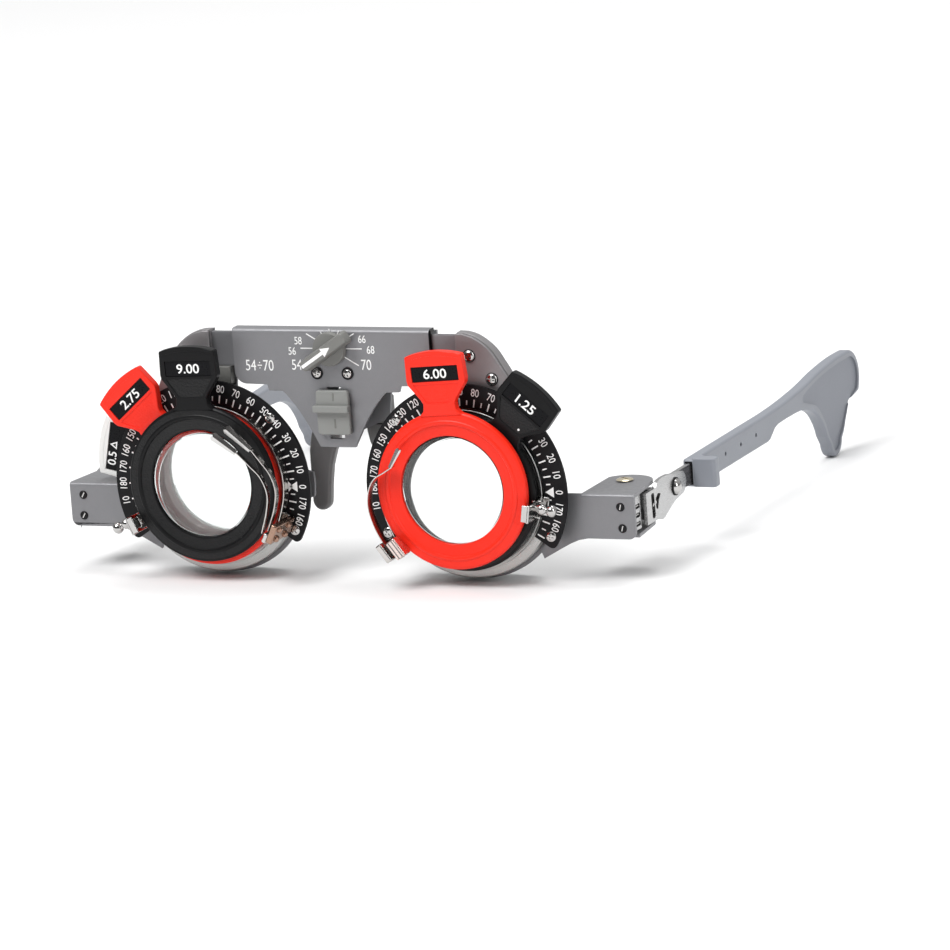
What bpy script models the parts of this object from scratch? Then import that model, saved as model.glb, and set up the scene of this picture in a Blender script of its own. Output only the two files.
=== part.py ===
"""Optician's adjustable trial frame, with five trial lenses in its cells.

All sizes are millimetres. A point is (x, depth, height): x runs to the wearer's left, depth runs back
from the bridge housing's front face, and height runs up from the centre of the PD dial. Each mesh is
scaled to metres and moved so that the origin is the centre of the housing's flat top face.
"side" is +1 for the wearer's left (L) and -1 for the right (R); u is a distance outward from a lens centre.
"""
import math

import bmesh
import bpy
from mathutils import Euler, Matrix, Vector

MM = 0.001

# Driving dimensions
PD = 66.0                    # distance between the lens centres at rest
LENS_DROP = -33.2            # height of the lens centres
RIM_RADIUS = 19.0            # trial lenses are 38 mm across
HOUSING_HALF = 25.5
HOUSING_DEPTH = 3.4
REAR_PLATE = (6.2, 7.0)
HOUSING_TOP = 4.7
SHEET = 1.0
GAP = 0.3

# PD mechanism: 12 teeth of 1 mm pitch, so 30 degrees of the knob move each eye 1 mm
TEETH = 12
TOOTH_PITCH = 1.0
PITCH_RADIUS = TEETH * TOOTH_PITCH / (2 * math.pi)
STRIP_LOW, STRIP_HIGH = -4.9, 3.4
STRIP_FRONT = {1: 1.3, -1: 2.4}
STRIP_THICK = 0.8
STEM_HALF = 1.5
KNOB_ANGLE = 33.0

# Layers of one eye, as depths
SCALE_FRONT, SCALE_BACK = -1.8, -0.9
ROTOR_BACK = 3.2
CARRIER_FRONT, CARRIER_BACK = 3.5, 4.3
SLOT_1 = -4.2                # mid-depths of the trial lenses
SLOT_2 = -7.3
REAR_SLOT = 7.1
SADDLE_FRONT, SADDLE_BACK = 8.7, 11.5   # behind the rear lenses, which pass in front of the legs
RIM_THICK = 2.3
SCALE_SCREW_ANGLES = (45, 135, -27, 207)
SCALE_START, SCALE_END = -33.0, 213.0
REAR_WALL = (222.0, 315.0)   # angles of the rear cell's wall, clear of the nose saddle at the smallest PD

# The corner bracket's rounded outer edge on the left eye, from its top round and down
CORNER = ((34.1, 3.9), (36.5, 3.2), (39.1, 1.6), (41.3, -0.5), (43.0, -3.1), (44.4, -5.4), (46.0, -8.5),
          (47.9, -13.4))
CARRIER_RADIUS = 22.9
POST = (21.8, 22.9, 3.0)     # inner and outer radius and half angle of the lugs that hold the scale

# Fittings on the carrier and on the ring: screws as (x, height), angles by side
CORNER_SCREWS = ((35.4, -1.4), (40.8, -6.9))
END_SCREWS = ((70.1, -37.4), (70.3, -42.5))
CLAW_ANGLE = {1: -9.0, -1: 205.0}
SPRING_ANGLE = {1: 217.0, -1: -25.0}
CLAW_FRONT = -11.9
# each leaf spring's inward bow, front depth, back depth and angle of sweep
SPRING_LEAVES = ((0.0, -5.5, -3.2, 76), (3.2, -10.7, -9.1, 78), (5.6, -12.6, -11.0, 74))

# Temple
HINGE_X, HINGE_DEPTH = 65.8, 16.4
FLANGE_RADIUS = 6.6
FACE_LEFT, FACE_RIGHT = 60.3, 73.6
FACE_TOP, FACE_LOW = -34.4, -45.1
FLANGE = 0.8
PLATE_IN, PLATE_OUT = 72.7, 73.6
RIVET = (28.4, -38.3)
BAR_IN, BAR_OUT = 71.1, 72.4
SLEEVE_IN, SLEEVE_OUT = 70.2, 73.4
SLEEVE_HOLES = (62.0, 72.3, 82.6)
THUMB_TAB = 78.4             # how far out the sleeve's thumb tab reaches
LOWEST = -55.6               # the carriers and the ear tips stand on one plane

ORIGIN = Vector((0.0, HOUSING_DEPTH / 2, HOUSING_TOP))
SIDES = {"l": 1, "r": -1}

# name: side, mid-depth of its slot, angle of its tab, offset from the cell's centre, rim colour
LENSES = {
    "lens_r_front": ("r", SLOT_2, 92.0, (0.2, 1.6), "black_plastic"),
    "lens_r_middle": ("r", SLOT_1, 131.0, (0.0, 0.2), "red_plastic"),
    "lens_r_rear": ("r", REAR_SLOT, 168.5, (-0.8, 1.2), "white_plastic"),
    "lens_l_front": ("l", SLOT_2, 94.0, (-0.9, 1.3), "red_plastic"),
    "lens_l_middle": ("l", SLOT_1, 49.5, (0.0, 0.2), "black_plastic"),
}

# colour, roughness, metallic
MATERIALS = {
    "housing_grey": ((0.23, 0.23, 0.24), 0.45, 0.6),
    "slider_grey": ((0.32, 0.33, 0.32), 0.5, 0.0),
    "scale_black": ((0.012, 0.012, 0.013), 0.45, 0.0),
    "black_plastic": ((0.015, 0.015, 0.017), 0.5, 0.0),
    "red_plastic": ((0.95, 0.06, 0.02), 0.4, 0.0),
    "white_plastic": ((0.82, 0.82, 0.8), 0.45, 0.0),
    "lens_glass": ((0.9, 0.93, 0.92), 0.03, 0.0),
    "aluminium": ((0.62, 0.62, 0.61), 0.35, 1.0),
    "chrome": ((0.75, 0.74, 0.72), 0.12, 1.0),
    "steel": ((0.42, 0.42, 0.43), 0.3, 1.0),
    "temple_grey": ((0.25, 0.27, 0.3), 0.5, 0.0),
}

PLANE_TURN = {
    "front": Euler((math.pi / 2, 0, 0)),
    "top": Euler((0, 0, 0)),
    "side": Euler((math.pi / 2, 0, math.pi / 2)),
}
AXIS_TURN = {
    "depth": Euler((math.pi / 2, 0, 0)),
    "height": Euler((0, 0, 0)),
    "x": Euler((0, math.pi / 2, 0)),
}
PLANE_NORMAL = {"front": Vector((0, 1, 0)), "top": Vector((0, 0, 1)), "side": Vector((1, 0, 0))}


# Helpers ---------------------------------------------------------------------------------------------

def clear_scene():
    for obj in list(bpy.data.objects):
        bpy.data.objects.remove(obj, do_unlink=True)


def make_collection(name):
    collection = bpy.data.collections.new(name)
    bpy.context.scene.collection.children.link(collection)
    return collection


def make_material(name):
    color, roughness, metallic = MATERIALS[name]
    material = bpy.data.materials.new(name)
    material.use_nodes = True
    shader = material.node_tree.nodes["Principled BSDF"]
    shader.inputs["Base Color"].default_value = (*color, 1.0)
    shader.inputs["Roughness"].default_value = roughness
    shader.inputs["Metallic"].default_value = metallic
    if name == "lens_glass":
        shader.inputs["Transmission Weight"].default_value = 1.0
    return material


def frozen(obj, weld=True):
    """The object with its modifiers applied, as a plain mesh in world space, still in millimetres."""
    bpy.context.view_layer.update()
    depsgraph = bpy.context.evaluated_depsgraph_get()
    mesh = bpy.data.meshes.new_from_object(obj.evaluated_get(depsgraph), depsgraph=depsgraph)
    mesh.transform(obj.matrix_world)
    bm = bmesh.new()
    bm.from_mesh(mesh)
    if weld:
        for vert in bm.verts:
            vert.co = [round(value, 4) for value in vert.co]
        bmesh.ops.remove_doubles(bm, verts=bm.verts, dist=0.001)
        bmesh.ops.dissolve_degenerate(bm, edges=bm.edges, dist=0.0005)
        bmesh.ops.recalc_face_normals(bm, faces=bm.faces)
    bm.to_mesh(mesh)
    bm.free()
    name = obj.name
    bpy.data.objects.remove(obj, do_unlink=True)
    solid = bpy.data.objects.new(name, mesh)
    bpy.context.scene.collection.objects.link(solid)
    return solid


def prism(loops, low, high, plane="front", name="prism"):
    """A flat outline, or an outline and its holes, made solid from low to high along the plane's normal."""
    if not isinstance(loops[0][0], (tuple, list)):
        loops = [loops]
    curve = bpy.data.curves.new(name, "CURVE")
    curve.dimensions = "2D"
    curve.fill_mode = "BOTH"
    curve.extrude = (high - low) / 2
    for loop in loops:
        spline = curve.splines.new("POLY")
        spline.points.add(len(loop) - 1)
        for point, (across, up) in zip(spline.points, loop):
            point.co = (across, up, 0.0, 1.0)
        spline.use_cyclic_u = True
    obj = bpy.data.objects.new(name, curve)
    obj.rotation_euler = PLANE_TURN[plane]
    obj.location = PLANE_NORMAL[plane] * ((low + high) / 2)
    bpy.context.scene.collection.objects.link(obj)
    return frozen(obj)


def turned(profile, centre, steps=40, axis="depth", name="turned"):
    """A profile of (radius, along) points turned about an axis through centre, down its outer side."""
    mesh = bpy.data.meshes.new(name)
    verts = [(radius, 0.0, -along) for radius, along in profile]
    on_axis = profile[0][0] == 0.0 and profile[-1][0] == 0.0
    edges = [(i, i + 1) for i in range(len(verts) - 1)]
    if not on_axis:
        edges.append((len(verts) - 1, 0))
    mesh.from_pydata(verts, edges, [])
    obj = bpy.data.objects.new(name, mesh)
    bpy.context.scene.collection.objects.link(obj)
    screw = obj.modifiers.new("turn", "SCREW")
    screw.axis = "Z"
    screw.steps = screw.render_steps = steps
    screw.use_merge_vertices = True
    screw.merge_threshold = 0.0001
    obj.rotation_euler = AXIS_TURN[axis]
    obj.location = centre
    return frozen(obj)


def block(x, depth, height, bevel=0.0, name="block"):
    """A box between three (low, high) pairs, with its edges bevelled."""
    bm = bmesh.new()
    bmesh.ops.create_cube(bm, size=1.0)
    size = [pair[1] - pair[0] for pair in (x, depth, height)]
    bmesh.ops.scale(bm, vec=size, verts=bm.verts)
    mesh = bpy.data.meshes.new(name)
    bm.to_mesh(mesh)
    bm.free()
    obj = bpy.data.objects.new(name, mesh)
    obj.location = [(pair[0] + pair[1]) / 2 for pair in (x, depth, height)]
    bpy.context.scene.collection.objects.link(obj)
    if bevel:
        modifier = obj.modifiers.new("edges", "BEVEL")
        modifier.width = bevel
        modifier.segments = 2
    return frozen(obj)


def rod(radius, start, end, steps=16, name="rod"):
    """A cylinder from one point to another."""
    start, end = Vector(start), Vector(end)
    bm = bmesh.new()
    length = (end - start).length
    bmesh.ops.create_cone(bm, cap_ends=True, segments=steps, radius1=radius, radius2=radius, depth=length)
    mesh = bpy.data.meshes.new(name)
    bm.to_mesh(mesh)
    bm.free()
    obj = bpy.data.objects.new(name, mesh)
    obj.rotation_mode = "QUATERNION"
    obj.rotation_quaternion = (end - start).to_track_quat("Z", "Y")
    obj.location = (start + end) / 2
    bpy.context.scene.collection.objects.link(obj)
    return frozen(obj)


def combine(target, others, operation, solver="EXACT"):
    for other in others:
        modifier = target.modifiers.new("boolean", "BOOLEAN")
        modifier.operation = operation
        modifier.solver = solver
        modifier.object = other
    solid = frozen(target, weld=False)
    for other in others:
        bpy.data.objects.remove(other, do_unlink=True)
    return solid


def joined(target, *others):
    return combine(target, others, "UNION")


def cut(target, *others):
    return combine(target, others, "DIFFERENCE")


def turn_about(obj, degrees, centre, axis="Y"):
    """Turns a solid counter-clockwise as seen from the front about a line through centre."""
    centre = Vector(centre)
    turn = Matrix.Rotation(math.radians(-degrees), 4, axis)
    obj.data.transform(Matrix.Translation(centre) @ turn @ Matrix.Translation(-centre))
    return obj


def arc(centre, radius, start, end, steps):
    """Points on an arc between two angles in degrees, both ends included."""
    points = []
    for i in range(steps + 1):
        angle = math.radians(start + (end - start) * i / steps)
        points.append((centre[0] + radius * math.cos(angle), centre[1] + radius * math.sin(angle)))
    return points


def circle(centre, radius, steps=16):
    return arc(centre, radius, 0.0, 360.0 * (steps - 1) / steps, steps - 1)


def mirrored(right_half):
    """A closed outline from its right half, listed top to bottom."""
    return right_half + [(-x, y) for x, y in reversed(right_half)]


def flipped(points, side):
    """An outline drawn for the left eye, mirrored for the right eye."""
    return [(side * x, y) for x, y in points]


def lens_centre(side):
    return (side * PD / 2, LENS_DROP)


def sector(side, inner, outer, start, end, steps=12):
    """A ring sector about a lens centre; angles are counted from the outward side."""
    about = (PD / 2, LENS_DROP)
    points = arc(about, outer, start, end, steps) + arc(about, inner, end, start, steps)
    return flipped(points, side)


# Bridge ----------------------------------------------------------------------------------------------

def nose_slot():
    low, high, half = -21.8, -9.4, STEM_HALF + 0.4
    return [(half, high), (half, low), (-half, low), (-half, high)]


def screw_points():
    return [(side * 3.96, -5.95) for side in (1, -1)]


def make_housing():
    """Bent sheet: a T-shaped front and a flat top, open at both ends for the slides."""
    low = -23.8
    shell = block((-HOUSING_HALF, HOUSING_HALF), (0.0, HOUSING_DEPTH), (low, HOUSING_TOP))
    inside = block((-30, 30), (SHEET, 10), (-30, HOUSING_TOP - SHEET))
    beside = arc((HOUSING_HALF - 3.0, -5.8), 3.0, 0, -90, 5)
    beside += [(17.4, -8.8), (17.0, -10.3), (13.4, -10.4), (12.7, -11.2)]
    beside += [(10.2, -14.3), (8.1, -17.4), (6.2, -20.6), (4.7, -23.4), (4.2, -25.0)]
    beside += [(27.0, -25.0), (27.0, -5.8)]
    waste = [prism(flipped(beside, side), -1, 2) for side in (1, -1)]
    holes = [prism(nose_slot(), -1, 2), rod(1.4, (0, -1, 0), (0, 2, 0))]
    holes += [rod(1.1, (x, -1, height), (x, 2, height), 12) for x, height in screw_points()]
    shell = cut(shell, inside, *waste, *holes)
    bend_edge(shell, 0.9)
    return shell


def bend_edge(shell, radius):
    """Rounds the long edge where the front turns into the top."""
    bm = bmesh.new()
    bm.from_mesh(shell.data)
    corner = [v for v in bm.verts if abs(v.co.y) < 0.01 and abs(v.co.z - HOUSING_TOP) < 0.01]
    edges = [e for e in bm.edges if all(v in corner for v in e.verts)]
    bmesh.ops.bevel(bm, geom=edges, offset=radius, segments=3, profile=0.5, affect="EDGES")
    bmesh.ops.recalc_face_normals(bm, faces=bm.faces)
    bm.to_mesh(shell.data)
    bm.free()


def make_rear_plate():
    """Closes the housing's back and guides the nose saddle."""
    right = [(24.8, HOUSING_TOP - SHEET - GAP), (24.8, -8.2), (12.3, -8.6), (11.2, -17.2), (10.4, -18.2)]
    holes = [nose_slot()] + [circle(point, 1.1, 12) for point in screw_points()]
    return prism([mirrored(right)] + holes, *REAR_PLATE)


def make_screw(point, depth, head_radius, shank_radius, length):
    """A domed screw: the head stands in front of depth, the shank runs back."""
    profile = [(0.0, -0.9), (head_radius * 0.6, -0.75), (head_radius, -0.25), (head_radius, 0.0),
               (shank_radius, 0.0), (shank_radius, length), (0.0, length)]
    centre = (point[0], depth, point[1])
    return turned(profile, centre, 10)


def make_knob():
    """Round base and a bar handle that points at 66 on the dial, with a blind bore for the shaft."""
    base = turned([(0.0, -1.7), (3.9, -1.7), (4.1, -1.5), (4.1, -GAP), (0.0, -GAP)], (0, 0, 0), 24)
    bar = block((-7.4, 6.7), (-4.2, -1.2), (-1.7, 1.7), 0.6)
    turn_about(bar, KNOB_ANGLE, (0, 0, 0))
    bore = rod(1.3, (0, -2.9, 0), (0, 1, 0))
    return cut(joined(base, bar), bore)


def gear_outline():
    tip, root = PITCH_RADIUS + 0.22, PITCH_RADIUS - 0.42
    points = []
    for tooth in range(TEETH):
        middle = 360.0 * tooth / TEETH
        for radius, offset in ((root, -9.0), (root, -6.5), (tip, -2.8), (tip, 2.8), (root, 6.5)):
            angle = math.radians(middle + offset)
            points.append((radius * math.cos(angle), radius * math.sin(angle)))
    return points


def make_pinion():
    """The gear between the two racks, on its shaft."""
    gear = prism(gear_outline(), 1.15, 3.35)
    shaft = rod(1.0, (0, -2.5, 0), (0, 5.9, 0), 10)
    return joined(gear, shaft)


def rack_window(side):
    """The pinion's window in one slide, toothed on its top edge (left) or its low edge (right)."""
    inner, outer = -5.2, 9.2
    plain, root, tip = 2.5, PITCH_RADIUS + 0.42, PITCH_RADIUS - 0.2
    points = [(outer, -plain), (outer, root)]
    first = 8
    for tooth in range(first, -5, -1):
        middle = (tooth - 0.5) * TOOTH_PITCH
        points += [(middle + 0.24, root), (middle + 0.1, tip), (middle - 0.1, tip), (middle - 0.24, root)]
    points += [(inner, root), (inner, -plain)]
    return [(side * x, side * height) for x, height in points]


def make_slide_rack(side):
    """The strip that carries one eye along the bridge."""
    outline = [(-11.0, STRIP_LOW), (-11.0, STRIP_HIGH), (33.0, STRIP_HIGH), (35.6, 1.2), (37.4, -0.4)]
    outline.append((37.4, STRIP_LOW))
    hole = circle((35.4, -1.4), 1.0, 10)
    front = STRIP_FRONT[side]
    return prism([flipped(outline, side), flipped(hole, side), rack_window(side)], front, front + STRIP_THICK)


# Nose rest -------------------------------------------------------------------------------------------

def make_nose_slider():
    """The clip on the front of the nose panel, and the stem that passes through both plates."""
    clip = block((-4.3, 4.3), (-1.5, -GAP), (-20.6, -9.8), 0.4)
    ridge = block((-4.7, 4.7), (-2.9, -0.9), (-15.0, -13.3), 0.3)
    stem = block((-STEM_HALF, STEM_HALF), (-1.0, SADDLE_FRONT - GAP), (-18.6, -11.0))
    return joined(clip, ridge, stem)


def make_nose_saddle():
    """A plate behind the bridge with two rounded legs that rest beside the nose."""
    right = [(0.0, -12.5), (9.6, -12.5), (10.4, -13.5), (10.4, -20.0), (12.0, -26.0), (12.1, -38.9)]
    right += arc((9.75, -39.1), 2.35, 0, -170, 8)
    right += [(6.0, -29.0), (3.8, -24.5), (3.5, -20.5), (0.0, -20.0)]
    saddle = prism(mirrored(right[:-1])[1:-1], SADDLE_FRONT, SADDLE_BACK)
    modifier = saddle.modifiers.new("edges", "BEVEL")
    modifier.width = 0.8
    modifier.segments = 1
    modifier.limit_method = "ANGLE"
    modifier.angle_limit = math.radians(50)
    return frozen(saddle)


# Carrier ---------------------------------------------------------------------------------------------

def corner_edge(inset=0.0):
    """The corner bracket's outer edge, drawn in towards its screws by inset."""
    middle = Vector((35.5, -8.0))
    edge = []
    for point in CORNER:
        inward = (middle - Vector(point)).normalized() * inset
        edge.append((point[0] + inward.x, point[1] + inward.y))
    return edge


def make_carrier(side):
    """A back plate with the cell's opening, and the dished corner bracket that takes the slide."""
    about = (PD / 2, LENS_DROP)
    back = [(PD / 2 - 6.4, STRIP_LOW - 0.1), (PD / 2 - 1.1, STRIP_LOW - 0.1), (PD / 2 - 1.1, 3.9)]
    back += corner_edge(0.1) + arc(about, CARRIER_RADIUS, 51, -38, 8) + arc(about, 22.4, -40, -140, 10)
    back += arc(about, CARRIER_RADIUS, 218, 190, 3) + arc(about, 24.4, 189, 174, 2)
    back += arc(about, CARRIER_RADIUS, 173, 105, 6)
    plate = prism([flipped(back, side), flipped(circle(about, 16.5, 28), side)], CARRIER_FRONT, CARRIER_BACK)
    outline = [(PD / 2 - 1.0, 4.0)] + corner_edge() + arc(about, 22.3, 55, 92.6, 6)
    bracket = prism(flipped(outline, side), GAP, CARRIER_BACK - 0.4)
    pocket = [(PD / 2 - 3.0, 6.0), (PD / 2 + 1.4, 6.0)] + corner_edge(0.9)
    pocket += [(46.5, -17.0), (PD / 2 - 3.0, -17.0)]
    hollow = prism(flipped(pocket, side), GAP + 0.7, CARRIER_FRONT - 0.05)
    carrier = combine(cut(bracket, hollow), [plate], "UNION", "MANIFOLD")
    holes = [rod(1.0, (side * x, -1, height), (side * x, 6, height), 10) for x, height in CORNER_SCREWS]
    return combine(carrier, holes, "DIFFERENCE", "MANIFOLD")


def make_scale_plate(side):
    """The axis scale: a thin black sector in front of the rotating ring, on four lugs."""
    plate = prism(sector(side, 19.8, 25.6, SCALE_START, SCALE_END, 26), SCALE_FRONT, SCALE_BACK)
    inner, outer, half = POST
    posts = []
    for angle in SCALE_SCREW_ANGLES:
        back = 2.1 if angle == -27 else CARRIER_FRONT - GAP     # the end piece stands behind this lug
        lug = sector(side, inner, outer, angle - half, angle + half, 2)
        posts.append(prism(lug, SCALE_BACK - 0.4, back))
    return joined(plate, *posts)


def make_rear_cell(side):
    """The cell behind the carrier: a ring with a lipped wall below, open towards the temple."""
    x, height = lens_centre(side)
    ring = turned([(17.2, 4.6), (21.0, 4.6), (21.0, 5.4), (17.2, 5.4)], (x, 0, height), 28)
    start, end = REAR_WALL
    wall = prism(sector(side, 19.6, 20.5, start, end), 5.0, 9.6)
    lip = prism(sector(side, 18.0, 20.5, start, end), 8.9, 9.6)
    return joined(ring, wall, lip)


def make_rotor_ring(side):
    """The aluminium ring that turns in the carrier and holds the front lenses."""
    x, height = lens_centre(side)
    profile = [(17.5, -2.0), (19.4, -2.0), (19.4, -0.5), (21.2, -0.5), (21.5, -0.2)]
    profile += [(21.5, ROTOR_BACK), (17.5, ROTOR_BACK)]
    return turned(profile, (x, 0, height), 32)


def make_claw(side):
    """A stamped claw with a lip in front of each of the three slots, drawn at 0 degrees and turned."""
    x, height = lens_centre(side)
    half = 2.2
    wall = block((x + 19.5, x + 20.2), (CLAW_FRONT, -2.3), (height - half, height + half))
    foot = block((x + 17.8, x + 21.4), (-2.75, -2.3), (height - half, height + half))
    lips = [block((x + 17.9, x + 20.0), (front, front + 0.35), (height - half, height + half))
            for front in (CLAW_FRONT, -8.95, -5.87)]
    claw = joined(wall, foot, *lips)
    return turn_about(claw, CLAW_ANGLE[side], (x, 0, height))


def make_axis_knob(side):
    """The dumbbell-shaped handle that turns the ring."""
    x, height = lens_centre(side)
    profile = [(0.0, -25.8), (0.9, -25.5), (1.45, -24.5), (0.9, -23.5), (0.65, -23.1),
               (1.3, -22.2), (1.1, -21.0), (0.7, -20.5), (0.0, -20.5)]
    knob = turned(profile, (x, -8.6, height + side), 10, "x")
    return turn_about(knob, CLAW_ANGLE[side], (x, 0, height))


def make_spring_block(side):
    """The post that the leaf springs are fixed to."""
    x, height = lens_centre(side)
    post = block((x + 21.0, x + 22.6), (-12.9, -2.3), (height - 2.4, height + 2.4), 0.2)
    foot = block((x + 17.8, x + 22.0), (-2.8, -2.3), (height - 2.4, height + 2.4))
    return turn_about(joined(post, foot), SPRING_ANGLE[side], (x, 0, height))


def leaf_outline(inward, end_angle, steps=8):
    """A leaf seen from the front: it leaves the post and bows in by `inward` along its length."""
    outer, inner = [], []
    for i in range(steps + 1):
        part = i / steps
        angle = math.radians(end_angle * part)
        radius = 20.6 - inward * math.sin(part * math.pi * 0.62)
        outer.append((radius * math.cos(angle), radius * math.sin(angle)))
        inner.append(((radius - 0.35) * math.cos(angle), (radius - 0.35) * math.sin(angle)))
    return outer + list(reversed(inner))


def make_spring_leaves(side):
    """Three leaf springs on one foot: one lies along the rims, two stand in front, bowed inward."""
    x, height = lens_centre(side)
    sweep = 1 if side < 0 else -1
    leaves = []
    for inward, front, back, end_angle in SPRING_LEAVES:
        outline = [(x + a, height + sweep * b) for a, b in leaf_outline(inward, end_angle)]
        leaves.append(prism(outline, front, back))
    foot = block((x + 20.2, x + 20.7), (-12.6, -3.2), (height - 2.2, height + 2.2))
    return turn_about(joined(foot, *leaves), SPRING_ANGLE[side], (x, 0, height))


# Trial lenses ----------------------------------------------------------------------------------------

def lens_place(name):
    key, depth, angle, offset, _ = LENSES[name]
    x, height = lens_centre(SIDES[key])
    return (x + offset[0], depth, height + offset[1]), angle


def make_rim(name):
    """A stepped plastic rim with its tab, drawn with the tab up and turned to the tab's angle."""
    (x, depth, height), angle = lens_place(name)
    front, back = -RIM_THICK / 2, RIM_THICK / 2
    profile = [(13.0, front + 0.7), (14.8, front + 0.35), (16.6, front + 0.35), (16.9, front), (18.4, front),
               (RIM_RADIUS, front + 0.5), (RIM_RADIUS, back - 0.4), (18.5, back), (13.0, back)]
    ring = turned(profile, (x, depth, height), 30)
    right = arc((0, 8.4), 25.0, 90, 73.2, 3) + [(7.5, 26.3), (4.1, 21.4), (4.8, 17.6)]
    tab = prism([(x + a, height + b) for a, b in mirrored(right)[1:]], depth + front, depth + back)
    return turn_about(joined(ring, tab), angle - 90, (x, 0, height))


def make_glass(name):
    (x, depth, height), _ = lens_place(name)
    profile = [(0.0, -0.8), (8.0, -0.5), (12.7, 0.0), (12.7, 0.7), (0.0, 0.7)]
    return turned(profile, (x, depth, height), 24)


# End piece and hinge ---------------------------------------------------------------------------------

def make_end_piece(side):
    """Folded sheet: the face runs from the carrier to the temple, two flanges fold back round the hinge."""
    about = (PD / 2, LENS_DROP)
    face = [(FACE_RIGHT, FACE_TOP), (FACE_RIGHT, FACE_LOW), (61.5, FACE_LOW), (57.0, -46.5), (50.0, -50.2)]
    face += arc(about, 22.2, -43, -3.2, 8)
    sheet = prism(flipped(face, side), 2.4, 2.4 + FLANGE)
    outline = [(FACE_RIGHT, 2.6), (FACE_RIGHT, 4.0)]
    outline += arc((HINGE_X, HINGE_DEPTH), FLANGE_RADIUS, 0, 146, 9) + [(FACE_LEFT, 2.6)]
    hole = circle((HINGE_X, HINGE_DEPTH), 1.5, 12)
    flanges = [prism([flipped(outline, side), flipped(hole, side)], low, low + FLANGE, "top")
               for low in (FACE_TOP - FLANGE, FACE_LOW)]
    piece = joined(sheet, *flanges)
    holes = [rod(0.9, (side * x, 1, height), (side * x, 5, height), 10) for x, height in END_SCREWS]
    return cut(piece, end_corner(side), *holes)


def end_corner(side):
    """The waste outside the end piece's rounded lower corner."""
    radius = 1.8
    waste = [(FACE_RIGHT + 1.0, FACE_LOW + radius)]
    waste += arc((FACE_RIGHT - radius, FACE_LOW + radius), radius, 0, -90, 4)
    waste += [(FACE_RIGHT - radius, FACE_LOW - 1.0), (FACE_RIGHT + 1.0, FACE_LOW - 1.0)]
    return prism(flipped(waste, side), 2.0, 4.6)


def make_hinge_block(side):
    """The chromed block behind the face, held by the two screws."""
    body = block((side * 70.2 - 2.4, side * 70.2 + 2.4), (3.5, 8.8), (-43.9, -35.6), 0.3)
    holes = [rod(0.9, (side * x, 3, height), (side * x, 6.5, height), 10) for x, height in END_SCREWS]
    groove = sorted((side * 71.5, side * 73.0))
    grooves = [block(groove, (4.6, 7.8), (height, height + 0.8)) for height in (-42.6, -40.5, -38.4)]
    return cut(body, *holes, *grooves)


def make_hinge_pin(side):
    profile = [(0.0, 33.7), (1.7, 33.75), (2.2, 33.95), (2.2, 34.1), (1.2, 34.1), (1.2, 45.9), (0.0, 45.9)]
    return turned(profile, (side * HINGE_X, HINGE_DEPTH, 0), 12, "height")


def make_knuckle(side):
    """Barrel round the hinge pin, with the web that reaches the temple plate."""
    barrel = rod(2.7, (side * HINGE_X, HINGE_DEPTH, -43.9), (side * HINGE_X, HINGE_DEPTH, -35.6), 14)
    middle = (HINGE_X + PLATE_IN - GAP) / 2
    half = (PLATE_IN - GAP - HINGE_X) / 2
    across = (side * middle - half, side * middle + half)
    web = block(across, (HINGE_DEPTH - 1.5, HINGE_DEPTH + 1.5), (-43.4, -36.1))
    bore = rod(1.5, (side * HINGE_X, HINGE_DEPTH, -46), (side * HINGE_X, HINGE_DEPTH, -33), 12)
    return cut(joined(barrel, web), bore)


def side_prism(loops, inner, outer, side):
    low, high = sorted((side * inner, side * outer))
    return prism(loops, low, high, "side")


def make_temple_plate(side):
    """The steel plate from the hinge to the tilt rivet."""
    outline = [(10.0, -35.9), (16.6, -35.9), (17.4, -34.7), (21.0, -34.3), (28.0, -35.1)]
    outline += arc((32.6, RIVET[1]), 2.7, 80, -80, 8)
    outline += [(28.0, -41.9), (21.0, -44.0), (17.4, -43.7), (16.6, -43.5), (10.0, -43.5)]
    return side_prism([outline, circle(RIVET, 1.3, 14)], PLATE_IN, PLATE_OUT, side)


def make_rivet(side):
    profile = [(0.0, -75.1), (1.2, -74.8), (2.0, -74.0), (2.0, -73.9)]
    profile += [(1.0, -73.9), (1.0, -70.6), (0.0, -70.6)]
    if side < 0:
        profile = [(radius, -along) for radius, along in reversed(profile)]
    return turned(profile, (0, RIVET[0], RIVET[1]), 12, "x")


def make_temple_bar(side):
    """The spring-steel bar that tilts about the rivet and slides in the sleeve."""
    outline = arc(RIVET, 2.5, 90, 270, 8) + [(84.0, RIVET[1] - 2.5), (84.0, RIVET[1] + 2.5)]
    return side_prism([outline, circle(RIVET, 1.3, 14)], BAR_IN, BAR_OUT, side)


def sleeve_outline():
    """Side view of the sleeve and its ear tip, front to back along the top and forward underneath."""
    top = [(42.0, -34.9), (96.0, -34.6), (115.0, -33.5), (128.0, -31.8), (140.0, -31.0)]
    rear = arc((149.6, -38.4), 7.4, 90, -35, 8)
    hook = [(149.0, -43.4), (145.5, -47.0), (142.5, -52.0)] + arc((137.6, LOWEST + 4.4), 4.4, -10, -170, 6)
    under = [(129.5, -46.5), (124.5, -41.8), (117.0, -39.0), (96.5, -38.9), (92.5, -41.7), (42.0, -41.7)]
    return top + rear + hook + under


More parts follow.
